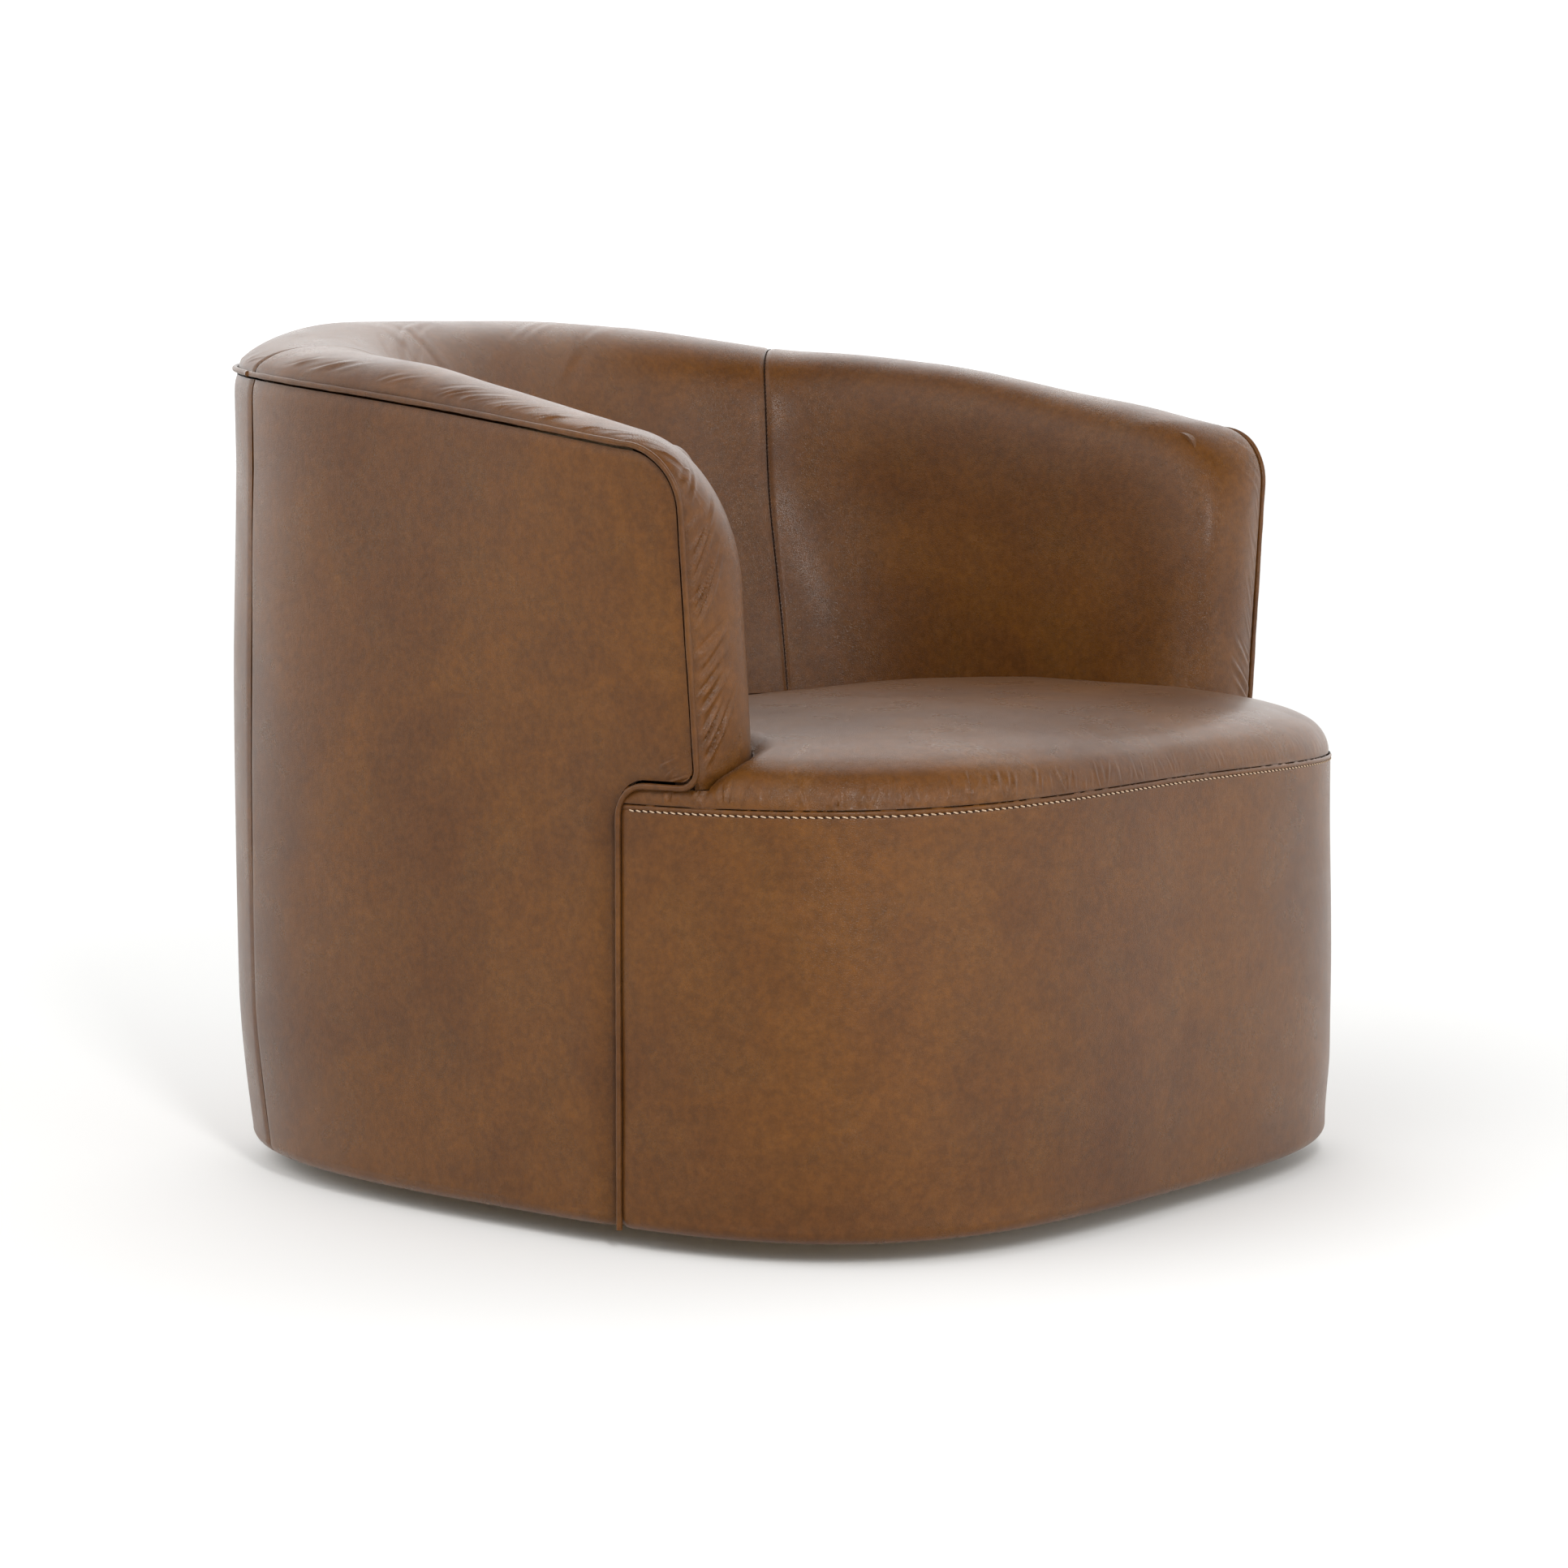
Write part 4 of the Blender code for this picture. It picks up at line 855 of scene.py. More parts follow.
def armPad(side):
    hand = "right" if side > 0 else "left"
    cover, backing = padSheet(armRow)
    along, across = walkLengths(cover, 1), walkLengths(cover, 0)
    frontEnd = float(along[0, armPads["frontSteps"]])
    cornerEnd = float(along[0, armPads["frontSteps"] + armPads["cornerSteps"]])
    # gathered puckers up the arm's front, longer drawn lines on its top, the right arm is smoother
    dice = np.random.RandomState(11 if side > 0 else 5)
    pull = 1.0 if side < 0 else padFolds["rightPull"]
    p = padFolds["puckers"]
    folds, spot, last = [], p["start"], frontEnd + p["past"]
    while spot < last:
        height = max(pull, 1 - spot / p["calm"]) * dice.uniform(*p["strength"])
        height *= p["heightHigh"] + p["heightLow"] * (1 - spot / last)
        folds.append((spot, dice.uniform(*p["slant"]), dice.uniform(*p["width"]), p["begin"],
                      dice.uniform(*p["reach"]), height))
        spot += dice.uniform(*p["gap"])
    for plan in ("top", "rear"):
        folds += randomFolds(dice, padFolds[plan], cornerEnd, cornerEnd, pull)
    field = foldField(along, across, folds)
    field += softNoise(cover, 0.085, 3 if side > 0 else 8) * 0.0011
    field += softNoise(cover, 0.028, 4) * 0.0004 * np.exp(-across / 0.06)
    field += seamTuck(along[:, -1:] - along, padFolds["seamDepth"], padFolds["seamWidth"])
    field += seamTuck(along, padFolds["footDepth"], padFolds["footWidth"])
    cover = finishPad("innerArmCover" + hand.title(), "inner_arm_pad_" + hand, cover, backing, field,
                      [-1], "armPaintedShade", side)
    return cover[:, -1]


def backPad():
    cover, backing = padSheet(backRow)
    along, across = walkLengths(cover, 1), walkLengths(cover, 0)
    dice = np.random.RandomState(21)
    whole = float(along[0, -1])
    folds = []
    for plan, start, end in (("backLeft", whole / 2, whole / 2), ("backRight", whole / 2, whole / 2),
                             ("backTop", 0, whole)):
        folds += randomFolds(dice, padFolds[plan], start, end)
    field = foldField(along, across, folds)
    field += softNoise(cover, 0.11, 5) * 0.0014
    field += seamTuck(np.minimum(along, along[:, -1:] - along), padFolds["seamDepth"], padFolds["seamWidth"])
    finishPad("innerBackCover", "inner_back_pad", cover, backing, field, [0, -1], "backPaintedShade")


innerSeams = [armPad(side) for side in (-1, 1)]
backPad()
print("arm and back covers done")


# Seat: a tight crowned cushion that dips where it meets arms and back

seatPiece = {
    "middle": (0.0, -0.100),
    "gridMiddle": (0.0, -0.250),
    "topHeight": 0.433,
    "bottom": 0.3057,
    "backFall": 0.030,
    "lipInset": 0.0009,
    "sideInset": 0.016,
    "crown": ((1.0, 0.0), (0.9985, 0.075), (0.992, 0.22), (0.970, 0.42), (0.935, 0.56), (0.88, 0.68),
              (0.78, 0.80), (0.62, 0.91), (0.42, 0.975), (0.20, 1.0), (0.0, 1.005)),
    "crownSlope": 0.18,
    "gathers": {"count": 230, "span": (0, 0), "slant": (-0.40, 0.40), "width": (0.0010, 0.0027),
                "begin": (0.0005, 0.002), "reach": (0.010, 0.034), "height": (0.0004, 0.0015)},
    "gatherFade": 0.06,
    "fadeFrom": -0.34,
    "fadeReach": 0.36,
    "tuckDepth": 0.009,
    "tuckWidth": 0.020,
    "wallHeight": 0.405,
    "armCutLevels": (0.3825, 0.47),
    "armCutReach": 0.52,
    "skirtDrops": (-0.001, -0.02),
    "frontSteps": 900,
    "rearSteps": 260,
    "reachSteps": 112,
    "reachPower": 1.9,
    "rightBehindNotch": 0.001,
}


def innerWallLine(z, first, steps=240, gap=0.0005):
    # plan line of the inner faces, from the notch on the +X side round the back to the -X side
    angles = evenAngles(first, 2 * math.pi - first, steps)
    depth = wallThickness(angles, z) * 1.03 + gap
    return wallPoint(np.where(angles > math.pi, angles - 2 * math.pi, angles), depth, z)[:, :2]


def noseLine(z, gap):
    # plan line of the front end of the +X arm, from its inner face round to the outer welt
    line = []
    for row in reversed(coverRows()):
        place = rowPlaces(angleAt(np.array(sideLines["armFrontY"] - row["reach"])), np.array(z), row)
        line.append([place[0] - gap * min(row["depth"] * 2, 1), place[1] - gap])
    line.insert(0, [line[0][0], sideLines["notchY"] + 0.05])
    return evenLine(line, 60)


def outlineReach(outline, centre, turns):
    # distance from the centre to a closed outline in each direction
    offset = outline - centre
    places = np.arctan2(offset[:, 1], offset[:, 0])
    return np.interp(turns, places, np.linalg.norm(offset, axis=1), period=2 * math.pi)


def gatherShare(x):
    # the gathers are deepest beside the -X arm and fade towards the other side
    return mix(seatPiece["gatherFade"], 1.0, 1 - ramp((x - seatPiece["fadeFrom"]) / seatPiece["fadeReach"]))


def seatPlan(lip, wall):
    # directions from the grid's middle, close together along the front, and the grid they span
    s = seatPiece
    middle = np.array(s["gridMiddle"])
    outline = np.concatenate([lip, wall])
    turns = np.unwrap(np.arctan2(outline[:, 1] - middle[1], outline[:, 0] - middle[0]))
    start, end = turns[0], turns[len(lip) - 1]
    spots = np.concatenate([start + np.linspace(0, end - start, s["frontSteps"], endpoint=False),
                            np.linspace(end, start + 2 * math.pi, s["rearSteps"], endpoint=False)])
    towards = np.stack([np.cos(spots), np.sin(spots)], -1)
    edge = middle + towards * outlineReach(outline, middle, spots)[:, None]
    steps = (1 - (1 - np.linspace(0, 1, s["reachSteps"])) ** s["reachPower"])[1:]
    return spots, towards, edge, middle + (edge - middle)[:, None] * steps[None, :, None]


def crownHeight(plan):
    # height of the crown from the share of the way to the drum's edge
    s = seatPiece
    middle = np.array(s["middle"])
    around = np.linspace(-math.pi, math.pi, 1441)
    lip = wallPoint(around, s["lipInset"], sideLines["seamHeight"])[:, :2]
    offset = plan - middle
    turns = np.arctan2(offset[..., 1], offset[..., 0])
    share = np.linalg.norm(offset, axis=-1) / outlineReach(lip, middle, turns)
    crown = np.array(s["crown"])[::-1]
    control = np.stack([crown[:, 0], crown[:, 1] * s["crownSlope"], np.zeros(len(crown))], -1)[:, None]
    line = smoothRows(control, np.linspace(0, 1, 900))[:, 0]
    rise = np.interp(share, line[:, 0], line[:, 1] / s["crownSlope"])
    fall = s["backFall"] * ramp((plan[..., 1] - middle[1]) / -middle[1] / 3)
    return mix(seamLevel(plan[..., 0]), s["topHeight"], rise) - fall


def cutArmEnd(cushion, side):
    # room for the front end of one arm
    line = noseLine(seatPiece["wallHeight"], 0.0006)
    far = seatPiece["armCutReach"]
    loop = np.concatenate([line, [[far, line[-1, 1]], [far, line[0, 1]]]]) * [side, 1]
    count = len(loop)
    points = [(x, y, height) for height in seatPiece["armCutLevels"] for x, y in loop]
    sides = [(i, (i + 1) % count, (i + 1) % count + count, i + count) for i in range(count)]
    mesh = bpy.data.meshes.new("armEndCutter")
    mesh.from_pydata(points, [], sides + [tuple(range(count)), tuple(range(count, 2 * count))])
    cutter = addObject("armEndCutter", mesh)
    editMesh(cutter, faceOutwards)
    cut = cushion.modifiers.new("armEnd", "BOOLEAN")
    cut.operation = "DIFFERENCE"
    cut.solver = "EXACT"
    cut.object = cutter
    applyModifiers(cushion)
    bpy.data.objects.remove(cutter)


def seatCushion():
    s = seatPiece
    seamHeight = sideLines["seamHeight"]
    behind = s["rightBehindNotch"] + float(notchCut(seamHeight))
    first = float(angleAt(panelEndY - behind))
    frontAngles = evenAngles(-first, first, 400)
    lip = wallPoint(frontAngles, s["lipInset"], seamHeight)[:, :2]
    wall = innerWallLine(s["wallHeight"], first)
    spots, towards, edge, plan = seatPlan(lip, wall)
    z = crownHeight(plan)

    # dips along the arms and the back
    nose = noseLine(s["wallHeight"], 0.0005)
    gap = distanceToLine(plan, np.concatenate([nose[::-1], wall, nose * [-1, 1]]))
    dip = np.clip(1 - gap / s["tuckWidth"], 0, 1) ** 2.2
    z -= s["tuckDepth"] * dip * np.clip((z - 0.36) / 0.05, 0, 1)
    places = np.concatenate([plan, z[..., None]], axis=-1)

    # gathers above the front seam, and the slow unevenness of a hide over foam
    along = np.repeat(walkLengths(edge[:, None], 0), plan.shape[1], axis=1)
    toEdge = walkLengths(places[:, ::-1], 1)[:, ::-1]
    front = along[:, 0][edge[:, 1] < -0.20]
    folds = randomFolds(np.random.RandomState(3), s["gathers"], front.min(), front.max())
    field = foldField(along, toEdge, folds) * gatherShare(places[..., 0])
    field += softNoise(places, 0.12, 2) * 0.0016
    field += softNoise(places, 0.035, 6) * 0.0003
    outside = 1.0 if sheetNormals(places)[..., 2].mean() > 0 else -1.0
    places = pushOut(places, field * ramp(toEdge / 0.003), outside)

    # the sides go on down behind the panels
    side = wallPoint(frontAngles, s["sideInset"], seamHeight)[:, :2]
    middle = np.array(s["gridMiddle"])
    edge = middle + towards * outlineReach(np.concatenate([side, wall]), middle, spots)[:, None]
    top = np.minimum(seamLevel(edge[:, 0]), places[:, -1, 2])
    heights = [top + drop for drop in s["skirtDrops"]] + [np.full(len(spots), s["bottom"])]
    skirt = np.stack([np.concatenate([edge, height[:, None]], -1) for height in heights], axis=1)
    grid = np.concatenate([places, skirt], axis=1).transpose(1, 0, 2)
    cushion = sheetFromPlaces("seatCushion", grid, wrap=True)
    closeSheet(cushion, 60)
    for hand in (-1, 1):
        cutArmEnd(cushion, hand)
    smoothPiece(cushion, 60)
    # painted shade along the front seam
    seamLine = np.concatenate([lip, seamLevel(lip[:, :1])], -1)
    paintShadeByDistance(cushion, [(seamLine[::4], 0.0007, 0.35)])
    dress(cushion, leather, "seat_cushion")


seatCushion()
print("seat done")


# Outer panels

cordPiece = {
    "radius": 0.0025,
    "sides": 12,
    "waver": 0.00012,
    "sink": 0.0003,
    "proud": 0.0018,
    "loop": 0.0020,
    "step": 0.0022,
}

panelPiece = {
    "thickness": 0.006,
    "hemRound": 0.012,
    "sideAlong": 330,
    "noseSteps": 90,
    "sideAcross": 190,
    "backAlong": 260,
    "backAcross": 150,
    "rowEase": 0.55,
    "edgeDepth": 0.0028,
    "edgeWidth": 0.006,
    "quarterDepth": 0.0016,
    "quarterWidth": 0.004,
    "creaseDepth": 0.0068,
    "creaseWidth": 0.013,
    "rearSwell": 0.0048,
    "frontSwell": 0.0042,
    # small folds above the notch
    "creases": {"count": 15, "span": (-0.004, 0.030), "slant": (-0.15, 0.15), "width": (0.0012, 0.0019),
                "begin": (0.0, 0.016), "reach": (0.020, 0.040), "height": (0.0004, 0.0009)},
    "creaseStart": (0.024, -0.008),
    "creaseTurn": (0.45, 0.89),
    "footReach": 0.55,
    "footDepth": 0.1,
    "notchDepth": 0.5,
}


def swell(z, y):
    # the covers stand out a little at half height, most of all at the back quarter
    rear = panelPiece["rearSwell"] * ramp((y + 0.05) / 0.30)
    high = 1 - ((z - 0.33) / 0.30) ** 2
    return rear * np.clip(high, 0, 1)


def frontSwell(z, toEnd):
    low = ramp((z - 0.03) / 0.07) * (1 - ramp((z - 0.17) / 0.17))
    return panelPiece["frontSwell"] * low * ramp(toEnd / 0.20)


hemTurns = np.linspace(0, math.pi / 2, 12)[:-1]


def hemRows(angles, depth):
    # rows of the rounded lower edge, from underneath up to just below the panel's own first row
    r = panelPiece["hemRound"]
    rows = zip(r - r * np.sin(hemTurns), sideLines["hemHeight"] + r - r * np.cos(hemTurns))
    return np.stack([wallPoint(angles, depth + d, np.full(len(angles), z)) for d, z in rows])


def easedShares(count):
    shares = np.linspace(0, 1, count)
    return mix(shares, ramp(shares), panelPiece["rowEase"])


def edgeTuck(toWelt, toQuarter):
    # how deep a panel is drawn in beside the welt and beside the quarter seam
    p = panelPiece
    return (p["edgeDepth"] * np.exp(-(toWelt / p["edgeWidth"]) ** 1.3)
            + p["quarterDepth"] * np.exp(-(toQuarter / p["quarterWidth"]) ** 2))


def sidePanel(side):
    s, p = sideLines, panelPiece
    hand = "right" if side > 0 else "left"
    slot, hemTop = s["slot"], s["hemHeight"] + p["hemRound"]
    notch, fillet, toe, corner, rim = weltSideLine(slot)
    toeMiddle, filletMiddle = len(toe) // 2, len(fillet) // 2
    # upper line from the toe up the front and along the rim, lower line from the toe to the notch and hem
    splitY = s["notchY"] + 0.004
    split = np.array([[splitY, float(rimHeight(splitY)) - slot]])
    upperNose = np.concatenate([toe[toeMiddle:], corner, rim[rim[:, 0] < splitY], split])
    lowerNose = np.concatenate([toe[:toeMiddle + 1][::-1], fillet[filletMiddle:][::-1]])
    upperMain = np.concatenate([split, rim[rim[:, 0] > splitY]])
    down = np.array([[s["notchY"] + slot, hemTop], [s["rearSeamY"], hemTop]])
    lowerMain = np.concatenate([fillet[:filletMiddle + 1][::-1], down])
    counts = (p["noseSteps"], p["sideAlong"] - p["noseSteps"] + 1)
    upper, lower = (np.concatenate([evenLine(nose, counts[0]), evenLine(main, counts[1])[1:]])
                    for nose, main in ((upperNose, upperMain), (lowerNose, lowerMain)))
    flat = lower[None] + (upper - lower)[None] * easedShares(p["sideAcross"])[:, None, None]
    angles = angleAt(flat[..., 0])

    gap = distanceToLine(flat, np.concatenate([notch, fillet, toe, corner, rim]))
    creaseLine = np.array([[s["notchY"] + slot, 0.0], [s["notchY"] + slot, fillet[0][1]]])
    toCrease = distanceToLine(flat, creaseLine)
    depth = edgeTuck(gap, lengthAt(np.array(rearSeamAngle)) - lengthAt(angles))
    depth += p["creaseDepth"] * np.exp(-(toCrease / p["creaseWidth"]) ** 1.6)
    local = flat - np.array([s["armFrontY"] + p["creaseStart"][0], s["notchHeight"] + p["creaseStart"][1]])
    ahead, up = p["creaseTurn"]
    folds = randomFolds(np.random.RandomState(9 if side > 0 else 2), p["creases"], 0, 0)
    depth -= foldField(local @ np.array([ahead, up]), local @ np.array([-up, ahead]), folds)
    depth -= swell(flat[..., 1], flat[..., 0])
    places = wallPoint(angles, depth, flat[..., 1])
    places = standOut(places, angles, softNoise(places, 0.13, 1 if side > 0 else 4) * 0.0014)

    # the hem is rounded, the edge along the notch is tucked in, and beside the front panel
    # it reaches forward under the welt and closes the slot
    rounds = hemRows(angles[0], depth[0])
    upright = (1 - ramp((lower[:, 1] - fillet[0][1] + 0.010) / 0.020))[:, None]
    tuck = (inwardStep(angles[0]) * mix(p["notchDepth"], p["footDepth"], upright)
            + np.array([0, -p["footReach"], 0]) * upright)
    tucked = places[0] + tuck * (p["hemRound"] * (1 - np.sin(hemTurns)))[:, None, None]
    onHem = np.abs(lower[:, 1] - hemTop) < 1e-6
    rounds[:, ~onHem] = tucked[:, ~onHem]
    panel = sheetFromPlaces("outerSidePanel" + hand.title(),
                            mirrored(np.concatenate([rounds, places]), side))
    # painted shade along the welt, and a broad painted shadow in the crease beside the notch
    finishPanel(panel, "outer_side_panel_" + hand,
                [(weltPlaces(side), 0.0028, 0.72), (weltPlaces(side)[:40:3], 0.0105, 0.50)])


def inwardStep(angles):
    goX, goY = inward(angles)
    return np.stack([goX, goY, np.zeros_like(goX)], -1)


def standOut(places, angles, amount):
    return places - inwardStep(angles) * amount[..., None]


def finishPanel(panel, node, paintedShadeLines):
    def clean(shape):
        bmesh.ops.remove_doubles(shape, verts=shape.verts, dist=mergeGap)
        bmesh.ops.dissolve_degenerate(shape, edges=shape.edges, dist=mergeGap / 2)
        shape.normal_update()
        lean = sum(face.normal.xy.dot(face.calc_center_median().xy) * face.calc_area()
                   for face in shape.faces)
        if lean < 0:
            bmesh.ops.reverse_faces(shape, faces=shape.faces)

    editMesh(panel, clean)
    thicken(panel, panelPiece["thickness"])
    smoothPiece(panel, 55)
    paintShadeByDistance(panel, paintedShadeLines)
    dress(panel, leather, node)


def weltPlaces(side):
    notch, fillet, toe, corner, rim = weltSideLine(-cordPiece["proud"])
    notchRise = np.stack([np.full(40, notch[0][0]), np.linspace(notch[0][1], fillet[0][1], 40)], -1)
    front = np.stack([np.full(30, toe[-1][0]), np.linspace(toe[-1][1], corner[0][1], 30)], -1)
    line = np.concatenate([notchRise, fillet[1:], toe, front[1:], corner[1:], rim])
    places = wallPoint(angleAt(line[:, 0]), cordPiece["sink"], line[:, 1])
    return places * np.array([side, 1, 1])


def backPanel():
    angles = backAngles(panelPiece["backAlong"])
    y = planPoint(angles)[1]
    top = rimHeight(y) - sideLines["slot"]
    low = sideLines["hemHeight"] + panelPiece["hemRound"]
    z = low + (top - low)[None] * easedShares(panelPiece["backAcross"])[:, None]
    depth = edgeTuck(top[None] - z, toEnds(angles)[None]) - swell(z, np.broadcast_to(y, z.shape))
    places = wallPoint(np.broadcast_to(angles, z.shape), depth, z)
    places = standOut(places, angles, softNoise(places, 0.14, 9) * 0.0016)
    panel = sheetFromPlaces("outerBackPanel", np.concatenate([hemRows(angles, depth[0]), places]))
    # painted shade under the rim welt
    edge = wallPoint(angles, 0.0015, rimHeight(y))
    finishPanel(panel, "outer_back_panel", [(edge[::4], 0.0030, 0.85)])


frontPiece = {
    "stitchDrop": 0.0052,
    "stitchPitch": 0.0066,
    "stitchLength": 0.0050,
    "stitchRadius": 0.00068,
    "stitchSlant": 0.26,
    "stitchLift": -0.0002,
    "stitchEnd": 0.016,
    # dark capsules in the needle holes are painted shadow: length, radius, sink
    "holeShadowLength": 0.0024,
    "holeShadowRadius": 0.0009,
    "holeShadowSink": 0.0003,
    "foldHeight": 0.0010,
    "pinchDepth": 0.0008,
    "pinchWidth": 0.0012,
    "endDepth": 0.0022,
    "endWidth": 0.0035,
    "folds": {"count": 46, "span": (0, 0), "slant": (-0.3, 0.3), "width": (0.002, 0.005),
              "begin": (0.0052, 0.0072), "reach": (0.008, 0.024), "height": (0.00014, 0.00045)},
    "seamGap": 0.0002,
    # both ends turn in beside the welt, so that no gap shows from behind
    "turnIn": (0.016, 0.010, 0.005),
}


def frontWaves(places):
    return softNoise(places, 0.13, 12) * 0.0012


def frontPanel():
    p = frontPiece
    angles = evenAngles(-panelEndAngle, panelEndAngle, 430)
    x = planPoint(angles)[0]
    top = seamLevel(x) - p["seamGap"]
    low = sideLines["hemHeight"] + panelPiece["hemRound"]
    shares = np.concatenate([np.linspace(0, 0.90, 70, endpoint=False), np.linspace(0.90, 1, 60)])
    z = low + (top - low)[None] * shares[:, None]
    toTop = top[None] - z
    ends = lengthAt(angles)
    toEnd = toEnds(angles)[None]
    # the top edge turns into the seam, with a low folded ridge above the row of stitches
    lip, drop = seatPiece["lipInset"], p["stitchDrop"]
    depth = lip * np.exp(-(toTop / 0.0009) ** 1.4)
    depth = depth - p["foldHeight"] * np.exp(-((toTop - drop * 0.48) / (drop * 0.36)) ** 2)
    pinch = 0.65 + 0.35 * np.cos(2 * math.pi * ends / p["stitchPitch"])[None]
    depth = depth + p["pinchDepth"] * pinch * np.exp(-((toTop - drop) / p["pinchWidth"]) ** 2)
    depth = depth + p["endDepth"] * np.exp(-(toEnd / p["endWidth"]) ** 2)
    folds = randomFolds(np.random.RandomState(14), p["folds"], ends[0], ends[-1])
    along = np.broadcast_to(ends[None], z.shape)
    depth = depth - foldField(along, toTop, folds) * gatherShare(x) - frontSwell(z, toEnd)
    limit = angleAt(panelEndY - notchCut(z))
    places = wallPoint(angles[None] * limit / panelEndAngle, depth, z)
    places = standOut(places, angles, frontWaves(places))
    grid = np.concatenate([hemRows(angles, depth[0]), places])
    step = inwardStep(angles)[None]
    turnIn = np.array(p["turnIn"])[None, :, None]
    grid = np.concatenate([grid[:, :1] + step[:, :1] * turnIn, grid,
                           grid[:, -1:] + step[:, -1:] * turnIn[:, ::-1]], axis=1)
    panel = sheetFromPlaces("frontPanel", grid)
    # painted shade along the top seam and beside the welts
    seam = wallPoint(angles, lip, top + 0.001)
    edges = [(weltPlaces(side)[:54:3], 0.0030, 0.85) for side in (1, -1)]
    finishPanel(panel, "front_panel", [(seam[::4], 0.0006, 0.35)] + edges)


for side in (-1, 1):
    sidePanel(side)
backPanel()
frontPanel()
print("outer panels done")


# Welt cords

def addCord(name, node, line):
    radius = cordPiece["radius"]
    line = evenLine(line, int(lineLength(line) / cordPiece["step"]))
    forward = unit(np.gradient(line, axis=0))
    outward = (line - np.array([0.0, planLines["widestY"], 0.0])) * np.array([1, 1, 0])
    across = unit(np.cross(forward, outward))
    up = np.cross(across, forward)
    turns = np.linspace(0, 2 * math.pi, cordPiece["sides"], endpoint=False)[None, :, None]
    waver = 1 + softNoise(line, 0.02, 6) * cordPiece["waver"] / radius * 3
    ring = across[:, None] * np.cos(turns) + up[:, None] * np.sin(turns)
    cord = sheetFromPlaces(name, line[:, None] + ring * (radius * waver)[:, None, None], wrap=True)
    closeSheet(cord, 60)
    paintSeamShade(cord, np.zeros(len(cord.data.vertices)))
    dress(cord, cordLeather, node)


def weltCords():
    addCord("weltCordLeft", "piping_left", weltPlaces(-1))
    addCord("weltCordRight", "piping_right", weltPlaces(1))
    angles = backAngles(300)
    loop = cordPiece["loop"] * np.exp(-(toEnds(angles) / 0.006) ** 2)
    height = rimHeight(planPoint(angles)[1]) + cordPiece["proud"]
    addCord("weltCordBack", "piping_back", wallPoint(angles, cordPiece["sink"] - loop, height))


weltCords()
print("welt cords done")


# Stitches: one thread is modelled and copied along each row

def threadCopies(name, places, directions, ups, length, radius, material):
    deselectAll()
    bpy.ops.mesh.primitive_uv_sphere_add(segments=6, ring_count=5, radius=1)
    single = bpy.context.object
    shape = pointsOf(single)
    faces = [tuple(polygon.vertices) for polygon in single.data.polygons]
    bpy.data.objects.remove(single)
    # stretched along the thread with blunt ends
    along = np.sign(shape[:, 2]) * np.abs(shape[:, 2]) ** 0.6 * length / 2
    points, allFaces = [], []
    for number, (place, forward, up) in enumerate(zip(places, directions, ups)):
        forward = unit(forward)
        sideways = unit(np.cross(forward, up))
        upward = np.cross(sideways, forward)
        points.append(place + shape[:, :1] * radius * sideways + shape[:, 1:2] * radius * upward
                      + along[:, None] * forward)
        allFaces += [tuple(index + number * len(shape) for index in face) for face in faces]
    mesh = bpy.data.meshes.new(name)
    mesh.from_pydata(np.concatenate(points).tolist(), [], allFaces)
    mesh.shade_smooth()
    dress(addObject(name, mesh), material)


def topStitches():
    p = frontPiece
    reach = float(lengthAt(np.array(panelEndAngle - p["stitchEnd"])))
    count = int(2 * reach / p["stitchPitch"])
    lengths = (np.arange(count) - (count - 1) / 2) * p["stitchPitch"]
    angles = angleAtLength(lengths)
    z = seamLevel(planPoint(angles)[0]) - p["seamGap"] - p["stitchDrop"]
    inside = inwardStep(angles)
    lines = [wallPoint(spots, p["stitchLift"], z) for spots in (angles, angleAtLength(lengths + 0.001))]
    places, ahead = (standOut(line, angles, frontWaves(line)) for line in lines)
    forward = unit(ahead - places)
    slanted = forward + np.array([0, 0, -p["stitchSlant"]])
    threadCopies("topStitches", places, slanted, -inside, p["stitchLength"], p["stitchRadius"], lightThread)
    # dark capsules between the stitches as painted shadow in the needle holes
    holeShadows = places + forward * p["stitchPitch"] / 2 + inside * p["holeShadowSink"]
    threadCopies("needleHoleShadows", holeShadows, slanted, -inside, p["holeShadowLength"], p["holeShadowRadius"], darkThreadAndHoleShade)


seamStitch = {"pitch": 0.0042, "length": 0.0030, "radius": 0.0006}


def seamStitches():
    centre = np.array([0.0, planLines["widestY"], 0.5])
    for hand, seam in zip(("Left", "Right"), innerSeams):
        line = evenLine(seam, int(lineLength(seam) / seamStitch["pitch"]))
        threadCopies("innerSeamStitches" + hand, line, np.gradient(line, axis=0), centre - line,
                     seamStitch["length"], seamStitch["radius"], darkThreadAndHoleShade)


topStitches()
seamStitches()
print("stitches done")


# Finishes of the parts inside and underneath

def plainMaterial(name, look):
    material, tree, place = newMaterial(name)
    if "stretch" in look:
        place = addNode(tree, "Mapping", Vector=place, Scale=look["stretch"]).outputs["Vector"]
    cloud = noiseNode(tree, place, *look["noise"])
    colour = rampNode(tree, cloud, look["tones"])
    if "plies" in look:
        place = addNode(tree, "TexCoord").outputs["Object"]
        wave = addNode(tree, "TexWave", bands_direction="Z", Vector=place, Scale=105.0, Distortion=0.3)
        edge = rangeNode(tree, wave.outputs["Fac"], 0.6, 0.9, 0.0, 0.4)
        colour = mixNode(tree, edge, colour, look["plies"])
    relief = noiseNode(tree, place, *look["relief"]) if "relief" in look else cloud
    gloss = look["gloss"]
    if isinstance(gloss, tuple):
        gloss = rangeNode(tree, cloud, 0.3, 0.7, *gloss)
    return setShader(material, {"Base Color": colour, "Roughness": gloss,
                                "Normal": bumpNode(tree, relief, *look["bump"]), **look.get("shader", {})})


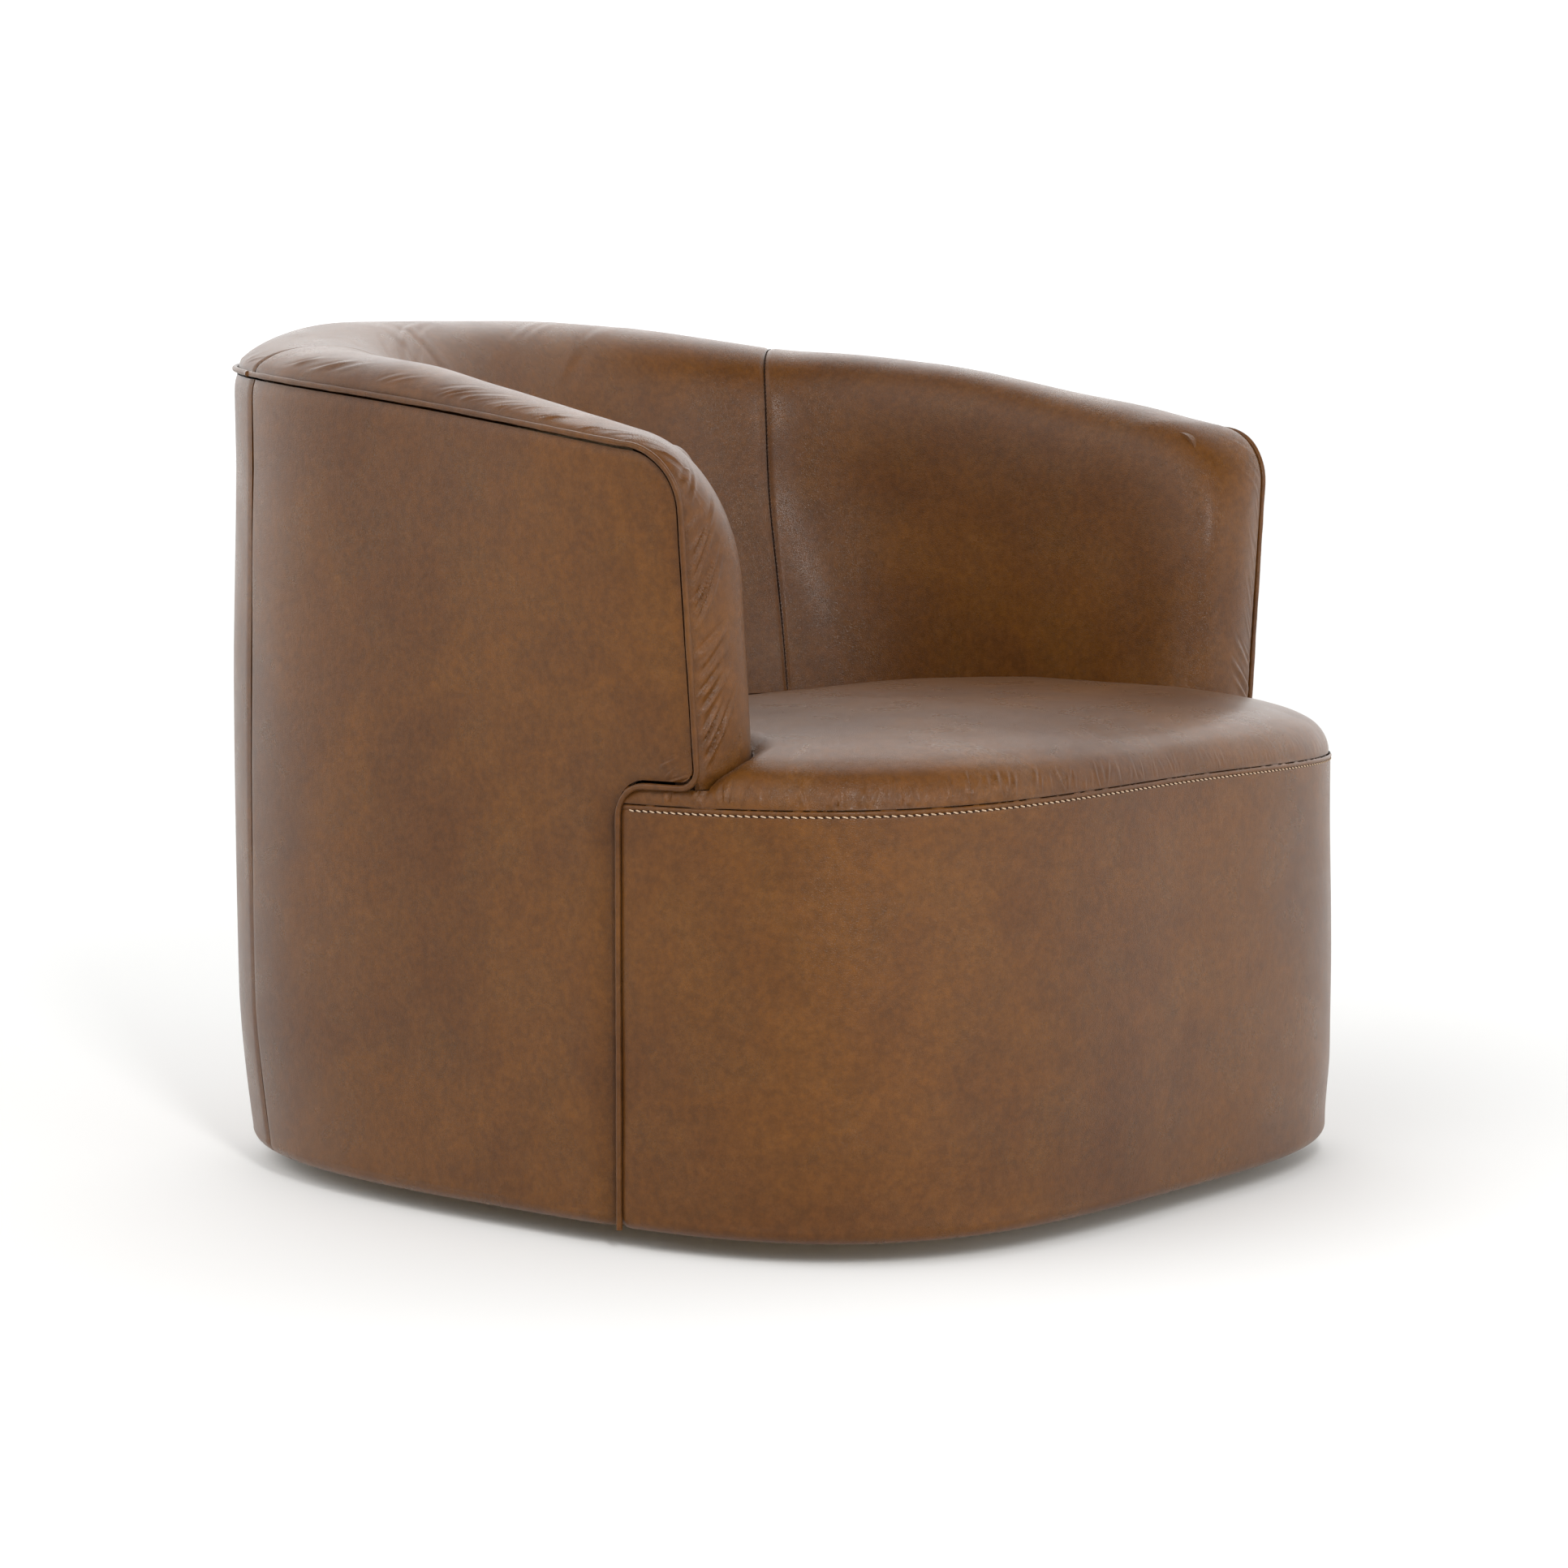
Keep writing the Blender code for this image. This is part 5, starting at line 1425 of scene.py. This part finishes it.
def woodLook(light, dark, stretch, **more):
    return {"noise": (95, 6, 0.6, 1.2), "tones": ((0.3, dark), (0.55, light), (0.75, dark)),
            "stretch": stretch, "gloss": (0.72, 0.55), "bump": (0.0004, 0.25), **more}


def paintLook(base, speck):
    return {"noise": (30, 4), "tones": ((0.35, base), (0.7, speck)), "gloss": (0.42, 0.60),
            "relief": (900, 2), "bump": (0.0002, 0.3)}


def metalLook(base, tint, shiny, dull):
    return {"noise": (60, 5, 0.6, 0.5), "tones": ((0.3, tint), (0.6, base)), "gloss": (dull, shiny),
            "relief": (1200, 2), "bump": (0.0001, 0.2), "shader": {"Metallic": 1.0}}


feltLook = {"noise": (700, 6, 0.75, 2.0), "tones": ((0.35, (0.20, 0.20, 0.19)), (0.65, (0.42, 0.42, 0.40))),
            "gloss": 0.95, "bump": (0.0008, 0.7), "shader": {"Sheen Weight": 0.4}}

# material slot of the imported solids: name and look
hiddenFinishes = {
    "plywood": ("birchPlywood", woodLook((0.66, 0.50, 0.31), (0.46, 0.31, 0.17), (0.08, 1.0, 1.0),
                                         plies=(0.46, 0.31, 0.17))),
    "timber": ("beech", woodLook((0.56, 0.38, 0.22), (0.40, 0.25, 0.13), (1.0, 1.0, 0.08))),
    "plinth_paint": ("blackPaint", paintLook((0.012, 0.012, 0.013), (0.030, 0.030, 0.032))),
    "nylon": ("greyNylon", paintLook((0.20, 0.20, 0.20), (0.28, 0.28, 0.28))),
    "zinc": ("zincPlate", metalLook((0.62, 0.63, 0.66), (0.42, 0.43, 0.44), 0.28, 0.45)),
    "spring_steel": ("oiledSteel", metalLook((0.16, 0.16, 0.17), (0.07, 0.07, 0.075), 0.30, 0.48)),
    "felt": ("pressedFelt", feltLook),
}
hiddenMaterials = {slot: plainMaterial(*finish) for slot, finish in hiddenFinishes.items()}

for entry in frame["record"]["subparts"]:
    if entry["material_slot"] in hiddenMaterials:
        node = nodes[entry["node"]]
        node.data.materials.clear()
        node.data.materials.append(hiddenMaterials[entry["material_slot"]])
print("hidden finishes done")


# Floor, light and camera

studio = {
    "floorColour": (0.86, 0.86, 0.85),
    "glowWidth": 10.0,
    # soft glows round the room: degrees round from +X, degrees up, strength
    "glows": ((0, 8, 1.61), (45, 8, 1.00), (90, 8, 2.30), (135, 8, 0.26), (270, 8, 3.80), (315, 8, 1.40),
              (0, 38, 1.06), (45, 38, 2.00), (135, 38, 1.72), (180, 38, 2.75), (315, 38, 0.34)),
    # one tall narrow lamp beside the camera: degrees round and up, distance, size, watts
    "lamp": {"around": 228, "up": 27, "away": 3.2, "width": 0.35, "height": 1.2, "power": 42.0,
             "target": (0, 0, 0.5)},
    "cameraPlace": (-2.9785, -2.3743, 0.7246),
    "cameraTarget": (0.009, -0.006, 0.340),
    "lens": 96.2,
}


def addFloor():
    deselectAll()
    bpy.ops.mesh.primitive_plane_add(size=40)
    floor = bpy.context.object
    floor.name = "studioFloor"
    material, tree, place = newMaterial("paleFloor")
    pale = studio["floorColour"]
    tone = rampNode(tree, noiseNode(tree, place, 0.6, 2), [(0.3, pale), (0.7, tuple(c + 0.01 for c in pale))])
    floor.data.materials.append(setShader(material, {"Base Color": tone, "Roughness": 0.9,
                                                     "Specular IOR Level": 0.1}))


def skyDirection(around, up):
    turn, lift = math.radians(around), math.radians(up)
    return math.cos(lift) * math.cos(turn), math.cos(lift) * math.sin(turn), math.sin(lift)


def aimAt(piece, place, target):
    piece.location = place
    piece.rotation_euler = (Vector(target) - Vector(place)).to_track_quat("-Z", "Y").to_euler()


def addGlows(tree, background):
    # the light comes from broad soft glows in the sky, strongest in front and on the left
    sky = addNode(tree, "TexCoord").outputs["Generated"]
    total = 0.0
    for around, up, strength in studio["glows"]:
        towards = addNode(tree, "VectorMath", operation="DOT_PRODUCT")
        fillNode(towards, tree, sky, skyDirection(around, up))
        near = mathNode(tree, "MAXIMUM", towards.outputs["Value"], 0.0)
        glow = mathNode(tree, "MULTIPLY", mathNode(tree, "POWER", near, studio["glowWidth"]), strength)
        total = mathNode(tree, "ADD", total, glow)
    tree.links.new(total, background.inputs["Strength"])


def addLamp():
    s = studio["lamp"]
    light = bpy.data.lights.new("stripLamp", "AREA")
    light.shape = "RECTANGLE"
    light.size, light.size_y = s["width"], s["height"]
    light.energy = s["power"]
    place = Vector(s["target"]) + Vector(skyDirection(s["around"], s["up"])) * s["away"]
    aimAt(addObject("stripLamp", light), place, s["target"])


def addStudio():
    scene = bpy.context.scene
    addFloor()
    addLamp()
    scene.view_settings.view_transform = "Standard"
    scene.world = bpy.data.worlds.new("studioWorld")
    scene.world.use_nodes = True
    background = scene.world.node_tree.nodes["Background"]
    background.inputs["Color"].default_value = (1, 1, 1, 1)
    addGlows(scene.world.node_tree, background)
    camera = bpy.data.cameras.new("photoCamera")
    camera.lens = studio["lens"]
    camera.sensor_width = 36
    scene.camera = addObject("photoCamera", camera)
    aimAt(scene.camera, studio["cameraPlace"], studio["cameraTarget"])


addStudio()
print("studio done")
